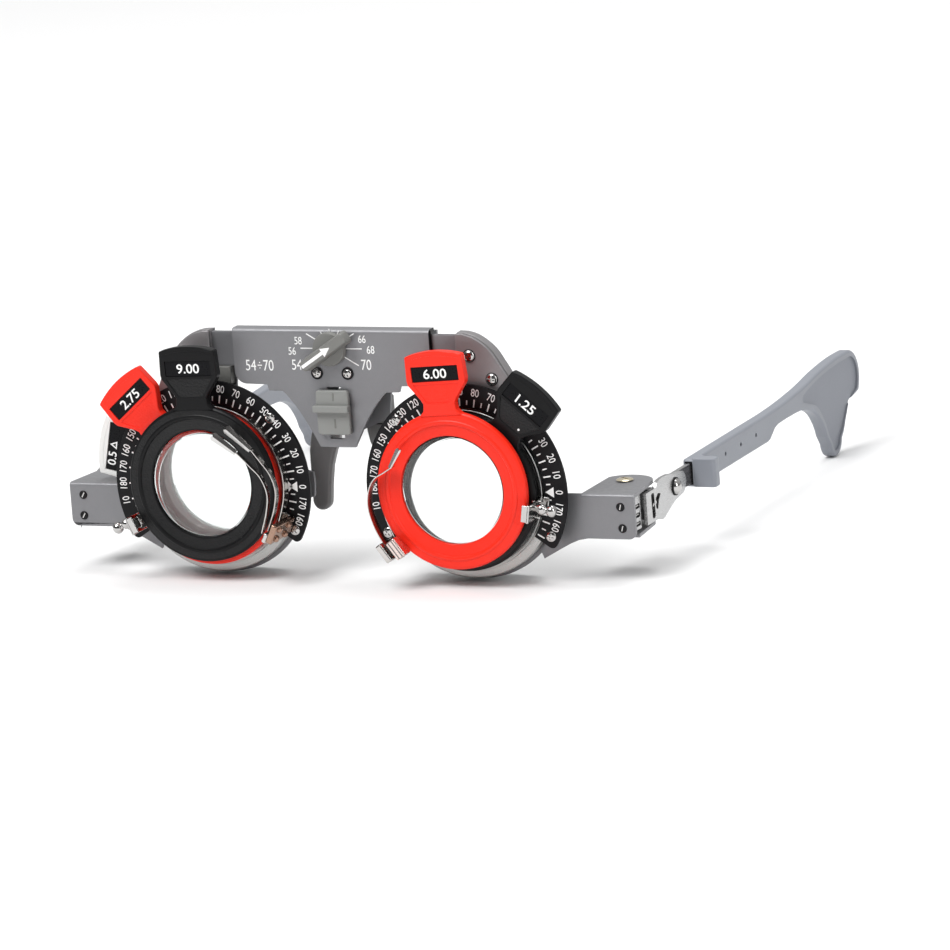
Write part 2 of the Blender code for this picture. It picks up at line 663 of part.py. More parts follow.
def make_sleeve(side):
    """Plastic sleeve on the bar, with a thumb tab that stands out at its front and a broad ear tip."""
    body = side_prism(sleeve_outline(), SLEEVE_IN, SLEEVE_OUT, side)
    low, high = sorted((side * (SLEEVE_OUT - 1.0), side * THUMB_TAB))
    grip = block((low, high), (42.0, 45.4), (-41.7, -34.9), 0.5)
    low, high = sorted((side * (BAR_IN - GAP), side * (BAR_OUT + GAP)))
    channel = block((low, high), (40.0, 91.0), (RIVET[1] - 2.8, RIVET[1] + 2.8))
    holes = [rod(0.6, (side * 69, depth, -38.0), (side * 78, depth, -38.0), 6) for depth in SLEEVE_HOLES]
    return cut(joined(body, grip), channel, *holes)


# Assembly --------------------------------------------------------------------------------------------

class Assembly:
    """Names, colours and places the solids, each under the empty of its moving body."""

    def __init__(self):
        self.parts = make_collection("trial_frame")
        self.materials = {name: make_material(name) for name in MATERIALS}
        self.pivots = {}

    def body(self, name, pivot=(0, 0, 0), parent=None):
        empty = bpy.data.objects.new("axis_" + name, None)
        empty.empty_display_size = 0.005
        self.parts.objects.link(empty)
        place = (Vector(pivot) - ORIGIN) * MM
        empty.location = place
        if parent:
            empty.parent = self.pivots[parent][0]
            empty.location = place - self.pivots[parent][1]
        self.pivots[name] = (empty, place)

    def add(self, name, solid, material, body):
        empty, place = self.pivots[body]
        solid.name = name
        solid.data.name = name
        solid.data.transform(Matrix.Scale(MM, 4) @ Matrix.Translation(-ORIGIN))
        solid.data.transform(Matrix.Translation(-place))
        solid.parent = empty
        solid.data.materials.clear()
        solid.data.materials.append(self.materials[material])
        solid.data.shade_smooth()
        solid.data.set_sharp_from_angle(angle=math.radians(35))
        for collection in list(solid.users_collection):
            collection.objects.unlink(solid)
        self.parts.objects.link(solid)


def build_bridge(frame):
    frame.body("bridge")
    frame.add("housing", make_housing(), "housing_grey", "bridge")
    frame.add("rear_plate", make_rear_plate(), "housing_grey", "bridge")
    for key, point in zip("lr", screw_points()):
        frame.add("bridge_screw_" + key, make_screw(point, -GAP, 1.7, 0.8, 7.9), "chrome", "bridge")
    frame.body("pd_knob", (0, 0, 0), "bridge")
    frame.add("pd_knob", make_knob(), "slider_grey", "pd_knob")
    frame.add("pd_pinion", make_pinion(), "steel", "pd_knob")
    frame.body("nose_rest", (0, 0, -15.0), "bridge")
    frame.add("nose_slider", make_nose_slider(), "slider_grey", "nose_rest")
    frame.add("nose_saddle", make_nose_saddle(), "housing_grey", "nose_rest")


def build_carrier(frame, key, side):
    body = "carrier_" + key
    x, height = lens_centre(side)
    frame.body(body, (x, 0, 0), "bridge")
    frame.add("slide_rack_" + key, make_slide_rack(side), "housing_grey", body)
    frame.add("carrier_plate_" + key, make_carrier(side), "housing_grey", body)
    for number, (across, up) in enumerate(CORNER_SCREWS, 1):
        screw = make_screw((side * across, up), 0.0, 1.6, 0.7, 4.6)
        frame.add(f"corner_screw_{key}_{number}", screw, "chrome", body)
    frame.add("scale_plate_" + key, make_scale_plate(side), "scale_black", body)
    frame.add("rear_cell_" + key, make_rear_cell(side), "steel", body)
    frame.add("end_piece_" + key, make_end_piece(side), "housing_grey", body)
    for number, (across, up) in enumerate(END_SCREWS, 1):
        screw = make_screw((side * across, up), 2.1, 1.2, 0.6, 3.8)
        frame.add(f"end_screw_{key}_{number}", screw, "steel", body)
    frame.add("hinge_block_" + key, make_hinge_block(side), "chrome", body)
    frame.add("hinge_pin_" + key, make_hinge_pin(side), "chrome", body)


def build_rotor(frame, key, side):
    body = "rotor_" + key
    x, height = lens_centre(side)
    frame.body(body, (x, 0, height), "carrier_" + key)
    frame.add("rotor_ring_" + key, make_rotor_ring(side), "aluminium", body)
    frame.add("claw_" + key, make_claw(side), "chrome", body)
    frame.add("axis_knob_" + key, make_axis_knob(side), "chrome", body)
    frame.add("spring_block_" + key, make_spring_block(side), "chrome", body)
    frame.add("spring_leaves_" + key, make_spring_leaves(side), "chrome", body)


def build_temple(frame, key, side):
    frame.body("temple_" + key, (side * HINGE_X, HINGE_DEPTH, -39.8), "carrier_" + key)
    frame.add("hinge_knuckle_" + key, make_knuckle(side), "steel", "temple_" + key)
    frame.add("temple_plate_" + key, make_temple_plate(side), "steel", "temple_" + key)
    frame.add("temple_rivet_" + key, make_rivet(side), "chrome", "temple_" + key)
    frame.body("bar_" + key, (side * 72.0, RIVET[0], RIVET[1]), "temple_" + key)
    frame.add("temple_bar_" + key, make_temple_bar(side), "steel", "bar_" + key)
    frame.body("sleeve_" + key, (side * 72.0, 42.0, RIVET[1]), "bar_" + key)
    frame.add("temple_sleeve_" + key, make_sleeve(side), "temple_grey", "sleeve_" + key)


def build_lenses(frame):
    for name, (key, depth, angle, offset, colour) in LENSES.items():
        holder = "carrier_" if depth > 0 else "rotor_"
        centre, _ = lens_place(name)
        frame.body(name, centre, holder + key)
        frame.add(name + "_rim", make_rim(name), colour, name)
        frame.add(name + "_glass", make_glass(name), "lens_glass", name)


def main():
    clear_scene()
    frame = Assembly()
    build_bridge(frame)
    for key, side in SIDES.items():
        build_carrier(frame, key, side)
        build_rotor(frame, key, side)
        build_temple(frame, key, side)
    build_lenses(frame)


main()
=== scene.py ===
"""The finished look of the adjustable trial frame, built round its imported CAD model.

Shapes are drawn in millimetres in the design's own frame: a point is (x, depth, height), with depth counted
back from the housing's front face and height from the centre of the PD dial. side is +1 for the wearer's left
eye and -1 for the right. Each finished piece is scaled to metres and moved onto the CAD model.
"""
import contextlib
import math

import bmesh
import bpy
from mathutils import Euler, Matrix, Vector


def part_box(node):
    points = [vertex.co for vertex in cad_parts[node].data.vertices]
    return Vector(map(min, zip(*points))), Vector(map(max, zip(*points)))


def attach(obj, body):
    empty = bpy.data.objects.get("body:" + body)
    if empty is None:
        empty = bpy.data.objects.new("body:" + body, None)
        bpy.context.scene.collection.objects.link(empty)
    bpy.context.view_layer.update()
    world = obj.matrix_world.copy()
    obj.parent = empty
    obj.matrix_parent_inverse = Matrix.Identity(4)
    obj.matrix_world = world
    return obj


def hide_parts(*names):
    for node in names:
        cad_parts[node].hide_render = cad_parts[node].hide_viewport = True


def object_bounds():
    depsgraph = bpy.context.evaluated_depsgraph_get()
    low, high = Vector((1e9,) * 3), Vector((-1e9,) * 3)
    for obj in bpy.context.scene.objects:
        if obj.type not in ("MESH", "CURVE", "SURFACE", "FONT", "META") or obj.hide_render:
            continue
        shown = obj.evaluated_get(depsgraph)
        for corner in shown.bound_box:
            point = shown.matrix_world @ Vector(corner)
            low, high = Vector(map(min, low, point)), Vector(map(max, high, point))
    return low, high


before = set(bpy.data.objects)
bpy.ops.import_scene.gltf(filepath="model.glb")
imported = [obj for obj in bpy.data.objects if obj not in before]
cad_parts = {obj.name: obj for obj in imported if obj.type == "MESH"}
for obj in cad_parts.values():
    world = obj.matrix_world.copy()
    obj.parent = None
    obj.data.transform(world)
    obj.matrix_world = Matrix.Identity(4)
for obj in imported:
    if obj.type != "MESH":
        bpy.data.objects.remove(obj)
cad_low, cad_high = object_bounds()

MM = 0.001
HOUSING_HALF, HOUSING_DEPTH, HOUSING_TOP = 25.5, 3.4, 4.7
housing_low, housing_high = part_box("housing")
ORIGIN = Vector((0.0, -housing_low.y / MM, HOUSING_TOP - housing_high.z / MM))
ring_low, ring_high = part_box("rotor_ring_l")
EYE_X = (ring_low.x + ring_high.x) / 2 / MM
EYE_HEIGHT = (ring_low.z + ring_high.z) / 2 / MM + ORIGIN.z
EYE = (EYE_X, EYE_HEIGHT)
SIDES = {"l": 1, "r": -1}

# Layers of one eye, as depths
STRIP_FRONT = {1: 1.3, -1: 2.4}
SCALE_FRONT, SCALE_BACK = -1.8, -0.9
PRINT = 0.05                 # how far printed marks stand proud
SLOT_1, SLOT_2, REAR_SLOT = -4.2, -7.3, 7.1
RIM_FRONT, RIM_BACK = -1.15, 1.15
CORNER_SCREWS = ((35.4, -1.4), (40.8, -6.9))
END_SCREWS = ((70.1, -37.4), (70.3, -42.5))
SCALE_SCREWS = (45, 135, -27, 207)
SCALE_INNER, SCALE_OUTER = 19.8, 25.6
REAR_WALL = (222, 315)       # the angles that the rear cell's wall spans
CLAW_ANGLE = {1: -9.0, -1: 205.0}
SPRING_ANGLE = {1: 217.0, -1: -25.0}
KNOB_ANGLE, KNOB_FRONT = 33.0, -4.2
CARRIER_RADIUS = 22.9
LUG = (21.8, 22.9, 3.0)      # inner and outer radius and half angle of the lugs that hold the scale
# The corner bracket's rounded outer edge on the left eye, from its top round and down
CORNER = ((34.1, 3.9), (36.5, 3.2), (39.1, 1.6), (41.3, -0.5), (43.0, -3.1), (44.4, -5.4), (46.0, -8.5),
          (47.9, -13.4))
# End piece: its top, lower and outer edges, and its front face's depth
END_TOP, END_LOW, END_RIGHT, END_FRONT = -34.4, -45.1, 73.6, 2.4
HINGE_X, HINGE_DEPTH = 65.8, 16.4
HINGE_GROOVES = (-42.9, -40.8, -38.7)
RIVET = (28.4, -38.3)
SLEEVE_OUTER, SLEEVE_SUNK = 73.4, 0.55
SLEEVE_HOLES = (62.0, 72.3, 82.6)
HOOK_END = (137.6, -51.2)    # centre of the ear tip's round end

# name: side, mid-depth, angle of the tab, offset from the cell's centre, rim colour, power
LENSES = {
    "lens_r_front": (-1, SLOT_2, 92.0, (0.2, 1.6), "black_plastic", "9.00"),
    "lens_r_middle": (-1, SLOT_1, 131.0, (0.0, 0.2), "red_plastic", "2.75"),
    "lens_r_rear": (-1, REAR_SLOT, 168.5, (-0.8, 1.2), "white_plastic", "0.5"),
    "lens_l_front": (1, SLOT_2, 94.0, (-0.9, 1.3), "red_plastic", "6.00"),
    "lens_l_middle": (1, SLOT_1, 49.5, (0.0, 0.2), "black_plastic", "1.25"),
}
LABEL_RISE = {"white_plastic": 1.1}      # the prism lens's label is taller than the others
CROWN_CENTRE = (0, 8.4)

# Camera
AZIMUTH, ELEVATION, ROLL = 24.19, 12.23, -4.22
DISTANCE, ASIDE, DOWN = 1488.8, 34.03, -29.79
LENS_MM = 239.53


# Materials -------------------------------------------------------------------------------------------

def node_material(name, color, roughness, metallic=0.0):
    """A Principled material, with the object's own coordinates ready for its patterns."""
    material = bpy.data.materials.new(name)
    material.use_nodes = True
    tree = material.node_tree
    shader = tree.nodes["Principled BSDF"]
    shader.inputs["Base Color"].default_value = (*color, 1.0)
    shader.inputs["Roughness"].default_value = roughness
    shader.inputs["Metallic"].default_value = metallic
    coordinates = tree.nodes.new("ShaderNodeTexCoord").outputs["Object"]
    return material, tree, shader, coordinates


def noise_of(tree, vector, scale, detail=2.0, stretch=None):
    """Noise with features about 1/scale metres across; stretch squeezes it along an axis."""
    if stretch:
        mapping = tree.nodes.new("ShaderNodeMapping")
        mapping.inputs["Scale"].default_value = stretch
        tree.links.new(vector, mapping.inputs["Vector"])
        vector = mapping.outputs["Vector"]
    node = tree.nodes.new("ShaderNodeTexNoise")
    node.inputs["Scale"].default_value = scale
    node.inputs["Detail"].default_value = detail
    tree.links.new(vector, node.inputs["Vector"])
    return node.outputs["Fac"]


def spread(tree, value, low, high):
    """Maps the middle of a noise's range onto low to high."""
    node = tree.nodes.new("ShaderNodeMapRange")
    node.inputs["From Min"].default_value = 0.3
    node.inputs["From Max"].default_value = 0.7
    node.inputs["To Min"].default_value = low
    node.inputs["To Max"].default_value = high
    tree.links.new(value, node.inputs["Value"])
    return node.outputs["Result"]


def bump(tree, shader, height, strength, distance):
    node = tree.nodes.new("ShaderNodeBump")
    node.inputs["Strength"].default_value = strength
    node.inputs["Distance"].default_value = distance
    tree.links.new(height, node.inputs["Height"])
    tree.links.new(node.outputs["Normal"], shader.inputs["Normal"])


def two_tone(tree, shader, value, color, change):
    """Varies the colour a little, from color * (1 - change) to color * (1 + change)."""
    mix = tree.nodes.new("ShaderNodeMix")
    mix.data_type = "RGBA"
    mix.inputs["A"].default_value = (*[c * (1 - change) for c in color], 1.0)
    mix.inputs["B"].default_value = (*[min(1.0, c * (1 + change)) for c in color], 1.0)
    tree.links.new(value, mix.inputs["Factor"])
    tree.links.new(mix.outputs["Result"], shader.inputs["Base Color"])


def moulded(name, color, roughness, grain, depth, change, sheen):
    """Plastic with a spark-eroded grain: `grain` is its size in millimetres, `depth` its height."""
    material, tree, shader, where = node_material(name, color, roughness)
    fine = noise_of(tree, where, 1.0 / (grain * MM), 3.0)
    cloud = noise_of(tree, where, 130.0, 2.0)
    two_tone(tree, shader, cloud, color, change)
    tree.links.new(spread(tree, fine, roughness - 0.06, roughness + 0.08), shader.inputs["Roughness"])
    bump(tree, shader, fine, 0.6, depth * MM)
    shader.inputs["Specular IOR Level"].default_value = sheen
    return material


def painted_metal(name, color, roughness):
    """Satin grey coating with a faint metallic speckle and a slight orange peel."""
    material, tree, shader, where = node_material(name, color, roughness, 0.35)
    speckle = noise_of(tree, where, 9000.0, 2.0)
    peel = noise_of(tree, where, 900.0, 2.0)
    two_tone(tree, shader, speckle, color, 0.10)
    tree.links.new(spread(tree, peel, roughness - 0.05, roughness + 0.07), shader.inputs["Roughness"])
    bump(tree, shader, speckle, 0.25, 0.006 * MM)
    return material


def bare_metal(name, color, roughness, stretch, streak, depth):
    """Metal brushed along the axis whose stretch is small."""
    material, tree, shader, where = node_material(name, color, roughness, 1.0)
    lines = noise_of(tree, where, 1.0, 3.0, stretch)
    cloud = noise_of(tree, where, 220.0, 3.0)
    two_tone(tree, shader, cloud, color, 0.05)
    tree.links.new(spread(tree, lines, roughness - streak, roughness + streak), shader.inputs["Roughness"])
    bump(tree, shader, lines, 0.35, depth * MM)
    return material


def turned_metal(name, color, roughness, centre_x):
    """Aluminium with the fine rings that turning leaves about the lens axis."""
    material, tree, shader, where = node_material(name, color, roughness, 1.0)
    flat = tree.nodes.new("ShaderNodeVectorMath")
    flat.operation = "MULTIPLY_ADD"
    flat.inputs[1].default_value = (1.0, 0.0, 1.0)
    flat.inputs[2].default_value = (-centre_x * MM, 0.0, -(EYE_HEIGHT - ORIGIN.z) * MM)
    tree.links.new(where, flat.inputs[0])
    radius = tree.nodes.new("ShaderNodeVectorMath")
    radius.operation = "LENGTH"
    tree.links.new(flat.outputs["Vector"], radius.inputs[0])
    rings = tree.nodes.new("ShaderNodeTexNoise")
    rings.noise_dimensions = "1D"
    rings.inputs["Scale"].default_value = 7000.0
    rings.inputs["Detail"].default_value = 3.0
    tree.links.new(radius.outputs["Value"], rings.inputs["W"])
    grain = noise_of(tree, where, 6000.0, 2.0)
    two_tone(tree, shader, grain, color, 0.12)
    tree.links.new(spread(tree, rings.outputs["Fac"], roughness - 0.08, roughness + 0.1),
                   shader.inputs["Roughness"])
    bump(tree, shader, rings.outputs["Fac"], 0.4, 0.006 * MM)
    return material


def glass(name, color):
    material, tree, shader, where = node_material(name, color, 0.0)
    shader.inputs["Transmission Weight"].default_value = 1.0
    shader.inputs["IOR"].default_value = 1.5
    smear = noise_of(tree, where, 60.0, 1.0)
    tree.links.new(spread(tree, smear, 0.0, 0.02), shader.inputs["Roughness"])
    return material


def ink(name, color):
    material, tree, shader, where = node_material(name, color, 0.55)
    two_tone(tree, shader, noise_of(tree, where, 4000.0, 2.0), color, 0.04)
    return material


RED, WHITE = (0.86, 0.022, 0.007), (0.80, 0.80, 0.78)
EVEN, BRUSHED = (900.0, 900.0, 900.0), (2500.0, 260.0, 6500.0)

# name: colour, roughness
PAINTS = {
    "housing_grey": ((0.215, 0.215, 0.225), 0.42),
    "bracket_grey": ((0.235, 0.225, 0.23), 0.36),
}
# name: colour, roughness, size of the grain, its height, change of colour, specular level
PLASTICS = {
    "slider_grey": ((0.235, 0.24, 0.23), 0.46, 0.12, 0.006, 0.06, 0.5),
    "knob_grey": ((0.17, 0.17, 0.16), 0.46, 0.12, 0.006, 0.06, 0.5),
    "saddle_grey": ((0.16, 0.155, 0.155), 0.36, 0.15, 0.006, 0.06, 0.5),
    "scale_black": ((0.006, 0.006, 0.007), 0.42, 0.10, 0.003, 0.06, 0.18),
    "black_plastic": ((0.006, 0.006, 0.0065), 0.34, 0.14, 0.006, 0.06, 0.16),
    "black_grain": ((0.007, 0.007, 0.0075), 0.36, 0.42, 0.26, 0.6, 0.3),
    "red_plastic": (RED, 0.34, 0.14, 0.004, 0.03, 0.3),
    "red_grain": (RED, 0.40, 0.42, 0.14, 0.10, 0.3),
    "white_plastic": (WHITE, 0.38, 0.14, 0.004, 0.02, 0.5),
    "white_grain": (WHITE, 0.46, 0.34, 0.05, 0.03, 0.5),
    "label_black": ((0.004, 0.004, 0.005), 0.3, 0.5, 0.001, 0.06, 0.12),
    # dark is a near-black for dark parts, and also serves as painted shade in gaps, hollows and folds.
    "dark": ((0.006, 0.006, 0.007), 0.4, 0.2, 0.004, 0.06, 0.2),
    "temple_grey": ((0.232, 0.245, 0.275), 0.44, 0.16, 0.006, 0.03, 0.5),
    # A darker copy of temple_grey: painted shade on the ear tip's sunk face.
    "temple_recess_shade": ((0.205, 0.217, 0.247), 0.5, 0.16, 0.006, 0.03, 0.5),
}
# name: colour, roughness, stretch of the brush lines, change of roughness, height of the lines
METALS = {
    "chrome": ((0.50, 0.49, 0.48), 0.12, EVEN, 0.05, 0.001),
    "spring_steel": ((0.55, 0.53, 0.51), 0.18, (300.0, 3000.0, 300.0), 0.06, 0.002),
    "copper": ((0.36, 0.23, 0.17), 0.22, EVEN, 0.06, 0.002),
    "brass": ((0.78, 0.70, 0.52), 0.22, EVEN, 0.06, 0.002),
    "clip_steel": ((0.74, 0.62, 0.58), 0.26, EVEN, 0.06, 0.002),
    # A brighter steel: painted light on one half of each spring's lip.
    "lit_lip_steel": ((0.62, 0.61, 0.60), 0.34, EVEN, 0.06, 0.002),
    "steel": ((0.46, 0.46, 0.46), 0.30, BRUSHED, 0.09, 0.004),
    # This dark steel also serves as painted shade: on the left lips' darker halves and on the clip's folds.
    "dark_steel": ((0.20, 0.19, 0.19), 0.30, BRUSHED, 0.09, 0.004),
}
ALUMINIUM = (0.42, 0.42, 0.41)

M = {
    "lens_glass": glass("lens_glass", (0.97, 0.985, 0.98)),
    "white_ink": ink("white_ink", (0.88, 0.88, 0.87)),
}
M.update({name: painted_metal(name, *look) for name, look in PAINTS.items()})
M.update({name: moulded(name, *look) for name, look in PLASTICS.items()})
M.update({name: bare_metal(name, *look) for name, look in METALS.items()})
M.update({"aluminium_" + key: turned_metal("aluminium_" + key, ALUMINIUM, 0.30, side * EYE_X)
          for key, side in SIDES.items()})
GRAIN = {"black_plastic": "black_grain", "red_plastic": "red_grain", "white_plastic": "white_grain"}


# Shapes ----------------------------------------------------------------------------------------------

PLANE_TURN = {
    "front": Euler((math.pi / 2, 0, 0)),
    "top": Euler((0, 0, 0)),
    "side": Euler((math.pi / 2, 0, math.pi / 2)),
}
AXIS_TURN = {"depth": PLANE_TURN["front"], "height": Euler((0, 0, 0)), "x": Euler((0, math.pi / 2, 0))}
PLANE_NORMAL = {"front": Vector((0, 1, 0)), "top": Vector((0, 0, 1)), "side": Vector((1, 0, 0))}


def linked(data, name="part"):
    obj = bpy.data.objects.new(name, data)
    bpy.context.scene.collection.objects.link(obj)
    return obj


@contextlib.contextmanager
def editing(mesh):
    """Opens a mesh for editing and writes the result back to it."""
    bm = bmesh.new()
    bm.from_mesh(mesh)
    yield bm
    bm.to_mesh(mesh)
    bm.free()


def frozen(obj, weld=0.0):
    """The object as a plain mesh, its modifiers and its place applied."""
    bpy.context.view_layer.update()
    depsgraph = bpy.context.evaluated_depsgraph_get()
    mesh = bpy.data.meshes.new_from_object(obj.evaluated_get(depsgraph), depsgraph=depsgraph)
    mesh.transform(obj.matrix_world)
    if weld:
        with editing(mesh) as bm:
            bmesh.ops.remove_doubles(bm, verts=bm.verts, dist=weld)
            bmesh.ops.recalc_face_normals(bm, faces=bm.faces)
    bpy.data.objects.remove(obj, do_unlink=True)
    return linked(mesh)


def bevelled(obj, width, segments=3, angle=40.0):
    if width:
        modifier = obj.modifiers.new("edges", "BEVEL")
        modifier.width = width
        modifier.segments = segments
        modifier.limit_method = "ANGLE"
        modifier.angle_limit = math.radians(angle)
        modifier.use_clamp_overlap = True
        obj = frozen(obj)
    return obj


def prism(loops, low, high, plane="front", bevel=0.0, segments=3, angle=40.0):
    """A flat outline, or an outline and its holes, made solid from low to high along the plane's normal."""
    if not isinstance(loops[0][0], (tuple, list)):
        loops = [loops]
    curve = bpy.data.curves.new("outline", "CURVE")
    curve.dimensions = "2D"
    curve.fill_mode = "BOTH"
    curve.extrude = (high - low) / 2
    for loop in loops:
        spline = curve.splines.new("POLY")
        spline.points.add(len(loop) - 1)
        for point, (across, up) in zip(spline.points, loop):
            point.co = (across, up, 0.0, 1.0)
        spline.use_cyclic_u = True
    obj = linked(curve)
    obj.rotation_euler = PLANE_TURN[plane]
    obj.location = PLANE_NORMAL[plane] * ((low + high) / 2)
    solid = frozen(obj, 0.0005)
    flatten(solid)
    return bevelled(solid, bevel, segments, angle)


def flatten(obj):
    """Merges the flat faces of a solid, so that its edges bevel cleanly."""
    with editing(obj.data) as bm:
        bmesh.ops.dissolve_limit(bm, angle_limit=0.01, verts=bm.verts, edges=bm.edges)


def round_folds(obj, folds):
    """Rounds folds: each is a test that both ends of an edge on it pass, and a radius."""
    with editing(obj.data) as bm:
        for test, radius in folds:
            edges = [e for e in bm.edges if all(test(v.co) for v in e.verts)]
            bmesh.ops.bevel(bm, geom=edges, offset=radius, segments=5, profile=0.5, affect="EDGES")


def turned(profile, centre, steps=64, axis="depth", bevel=0.0):
    """A profile of (radius, along) points turned about an axis through centre."""
    mesh = bpy.data.meshes.new("profile")
    verts = [(radius, 0.0, -along) for radius, along in profile]
    edges = [(i, i + 1) for i in range(len(verts) - 1)]
    if profile[0][0] > 0.0 or profile[-1][0] > 0.0:
        edges.append((len(verts) - 1, 0))
    mesh.from_pydata(verts, edges, [])
    obj = linked(mesh)
    screw = obj.modifiers.new("turn", "SCREW")
    screw.axis = "Z"
    screw.steps = screw.render_steps = steps
    screw.use_merge_vertices = True
    screw.merge_threshold = 0.0001
    obj.rotation_euler = AXIS_TURN[axis]
    obj.location = centre
    return bevelled(frozen(obj, 0.0005), bevel, 2)


def block(x, depth, height, bevel=0.0, segments=3):
    """A box between three (low, high) pairs."""
    bm = bmesh.new()
    bmesh.ops.create_cube(bm, size=1.0)
    bmesh.ops.scale(bm, vec=[pair[1] - pair[0] for pair in (x, depth, height)], verts=bm.verts)
    mesh = bpy.data.meshes.new("block")
    bm.to_mesh(mesh)
    bm.free()
    obj = linked(mesh)
    obj.location = [(pair[0] + pair[1]) / 2 for pair in (x, depth, height)]
    return bevelled(frozen(obj), bevel, segments)


def side_block(side, x, depth, height, bevel=0.0):
    """A block on one side of the frame, its x given as on the left."""
    return block(sorted((side * x[0], side * x[1])), depth, height, bevel)


def rod(radius, start, end, steps=32, bevel=0.0):
    start, end = Vector(start), Vector(end)
    bm = bmesh.new()
    length = (end - start).length
    bmesh.ops.create_cone(bm, cap_ends=True, segments=steps, radius1=radius, radius2=radius, depth=length)
    mesh = bpy.data.meshes.new("rod")
    bm.to_mesh(mesh)
    bm.free()
    obj = linked(mesh)
    obj.rotation_mode = "QUATERNION"
    obj.rotation_quaternion = (end - start).to_track_quat("Z", "Y")
    obj.location = (start + end) / 2
    return bevelled(frozen(obj), bevel, 2)


def combine(target, others, operation):
    for other in others:
        modifier = target.modifiers.new("boolean", "BOOLEAN")
        modifier.operation = operation
        modifier.object = other
    solid = frozen(target)
    for other in others:
        bpy.data.objects.remove(other, do_unlink=True)
    return solid


def cut(target, *others):
    return combine(target, others, "DIFFERENCE")


def joined(target, *others):
    return combine(target, others, "UNION")


def turn_about(obj, degrees, centre, axis="Y"):
    """Turns a solid counter-clockwise as seen from the front about a line through centre."""
    centre = Vector(centre)
    turn = Matrix.Rotation(math.radians(-degrees), 4, axis)
    obj.data.transform(Matrix.Translation(centre) @ turn @ Matrix.Translation(-centre))
    return obj


def arc(centre, radius, start, end, steps):
    """Points on an arc between two angles in degrees, both ends included."""
    points = []
    for i in range(steps + 1):
        angle = math.radians(start + (end - start) * i / steps)
        points.append((centre[0] + radius * math.cos(angle), centre[1] + radius * math.sin(angle)))
    return points


def circle(centre, radius, steps=40):
    return arc(centre, radius, 0.0, 360.0 * (steps - 1) / steps, steps - 1)


def rounded(points, radius, steps=5):
    """A closed outline with its corners rounded, less where a side is short."""
    result = []
    count = len(points)
    for i, here in enumerate(points):
        before, after = Vector(points[i - 1]), Vector(points[(i + 1) % count])
        corner = Vector(here)
        back, on = before - corner, after - corner
        reach = min(radius, back.length * 0.45, on.length * 0.45)
        start, end = corner + back.normalized() * reach, corner + on.normalized() * reach
        for k in range(steps + 1):
            t = k / steps
            point = start * (1 - t) ** 2 + corner * (2 * t * (1 - t)) + end * t * t
            result.append((point.x, point.y))
    return result


def mirrored(right_half):
    """A closed outline from its right half, listed top to bottom."""
    return right_half + [(-x, y) for x, y in reversed(right_half)]


def flipped(points, side):
    return [(side * x, y) for x, y in points]


def shifted(points, x, up):
    return [(x + a, up + b) for a, b in points]


def smooth_path(points, steps=8):
    """A Catmull-Rom curve through the points."""
    ends = [points[0]] + list(points) + [points[-1]]
    path = []
    for i in range(1, len(ends) - 2):
        a, b, c, d = (Vector(p) for p in ends[i - 1:i + 3])
        for k in range(steps):
            t = k / steps
            path.append(0.5 * ((2 * b) + (c - a) * t + (2 * a - 5 * b + 4 * c - d) * t * t
                               + (3 * b - a - 3 * c + d) * t ** 3))
    path.append(Vector(points[-1]))
    return path


def smooth_points(points):
    return [tuple(point) for point in smooth_path(points, 5)]


def ribbon(points, thickness, front, back):
    """A strip on edge: it follows the points as seen from the front, and spans front to back in depth."""
    path = smooth_path(points)
    left, right = [], []
    for i, here in enumerate(path):
        along = (path[min(i + 1, len(path) - 1)] - path[max(i - 1, 0)]).normalized()
        across = Vector((-along.y, along.x)) * (thickness / 2)
        left.append(tuple(here + across))
        right.append(tuple(here - across))
    return prism(left + right[::-1], front, back, bevel=thickness * 0.25, segments=2)


def lettering(text, height, x, up, depth, turn=0.0, narrow=0.86, bold=0.0):
    """Printed characters facing front, `height` tall, centred at (x, up)."""
    curve = bpy.data.curves.new("text", "FONT")
    curve.body = text
    curve.extrude = 0.02
    curve.offset = bold
    curve.resolution_u = 4
    obj = frozen(linked(curve))
    coordinates = [v.co for v in obj.data.vertices]
    low = Vector([min(c[i] for c in coordinates) for i in range(3)])
    high = Vector([max(c[i] for c in coordinates) for i in range(3)])
    scale = height / (high.y - low.y)
    thick = 2 * PRINT / (high.z - low.z)
    obj.data.transform(Matrix.Translation(-(low + high) / 2))
    obj.data.transform(Matrix.Diagonal((scale * narrow, scale, thick, 1.0)))
    obj.data.transform(PLANE_TURN["front"].to_matrix().to_4x4())
    obj.data.transform(Matrix.Rotation(math.radians(-turn), 4, "Y"))
    obj.data.transform(Matrix.Translation((x, depth, up)))
    return painted(obj, "white_ink")


def mark(start, end, width, depth):
    """A printed line between two (x, height) points."""
    a, b = Vector(start), Vector(end)
    across = (b - a).normalized()
    across = Vector((-across.y, across.x)) * (width / 2)
    outline = [tuple(p) for p in (a + across, b + across, b - across, a - across)]
    return painted(prism(outline, depth - PRINT, depth + PRINT), "white_ink")


def painted(obj, material):
    obj.data.materials.clear()
    obj.data.materials.append(M[material])
    for face in obj.data.polygons:
        face.material_index = 0
    return obj


def paint_faces(obj, material, test):
    """Gives a second material to the faces whose centre and normal pass the test."""
    obj.data.materials.append(M[material])
    last = len(obj.data.materials) - 1
    for face in obj.data.polygons:
        if test(face.center, face.normal):
            face.material_index = last
    return obj


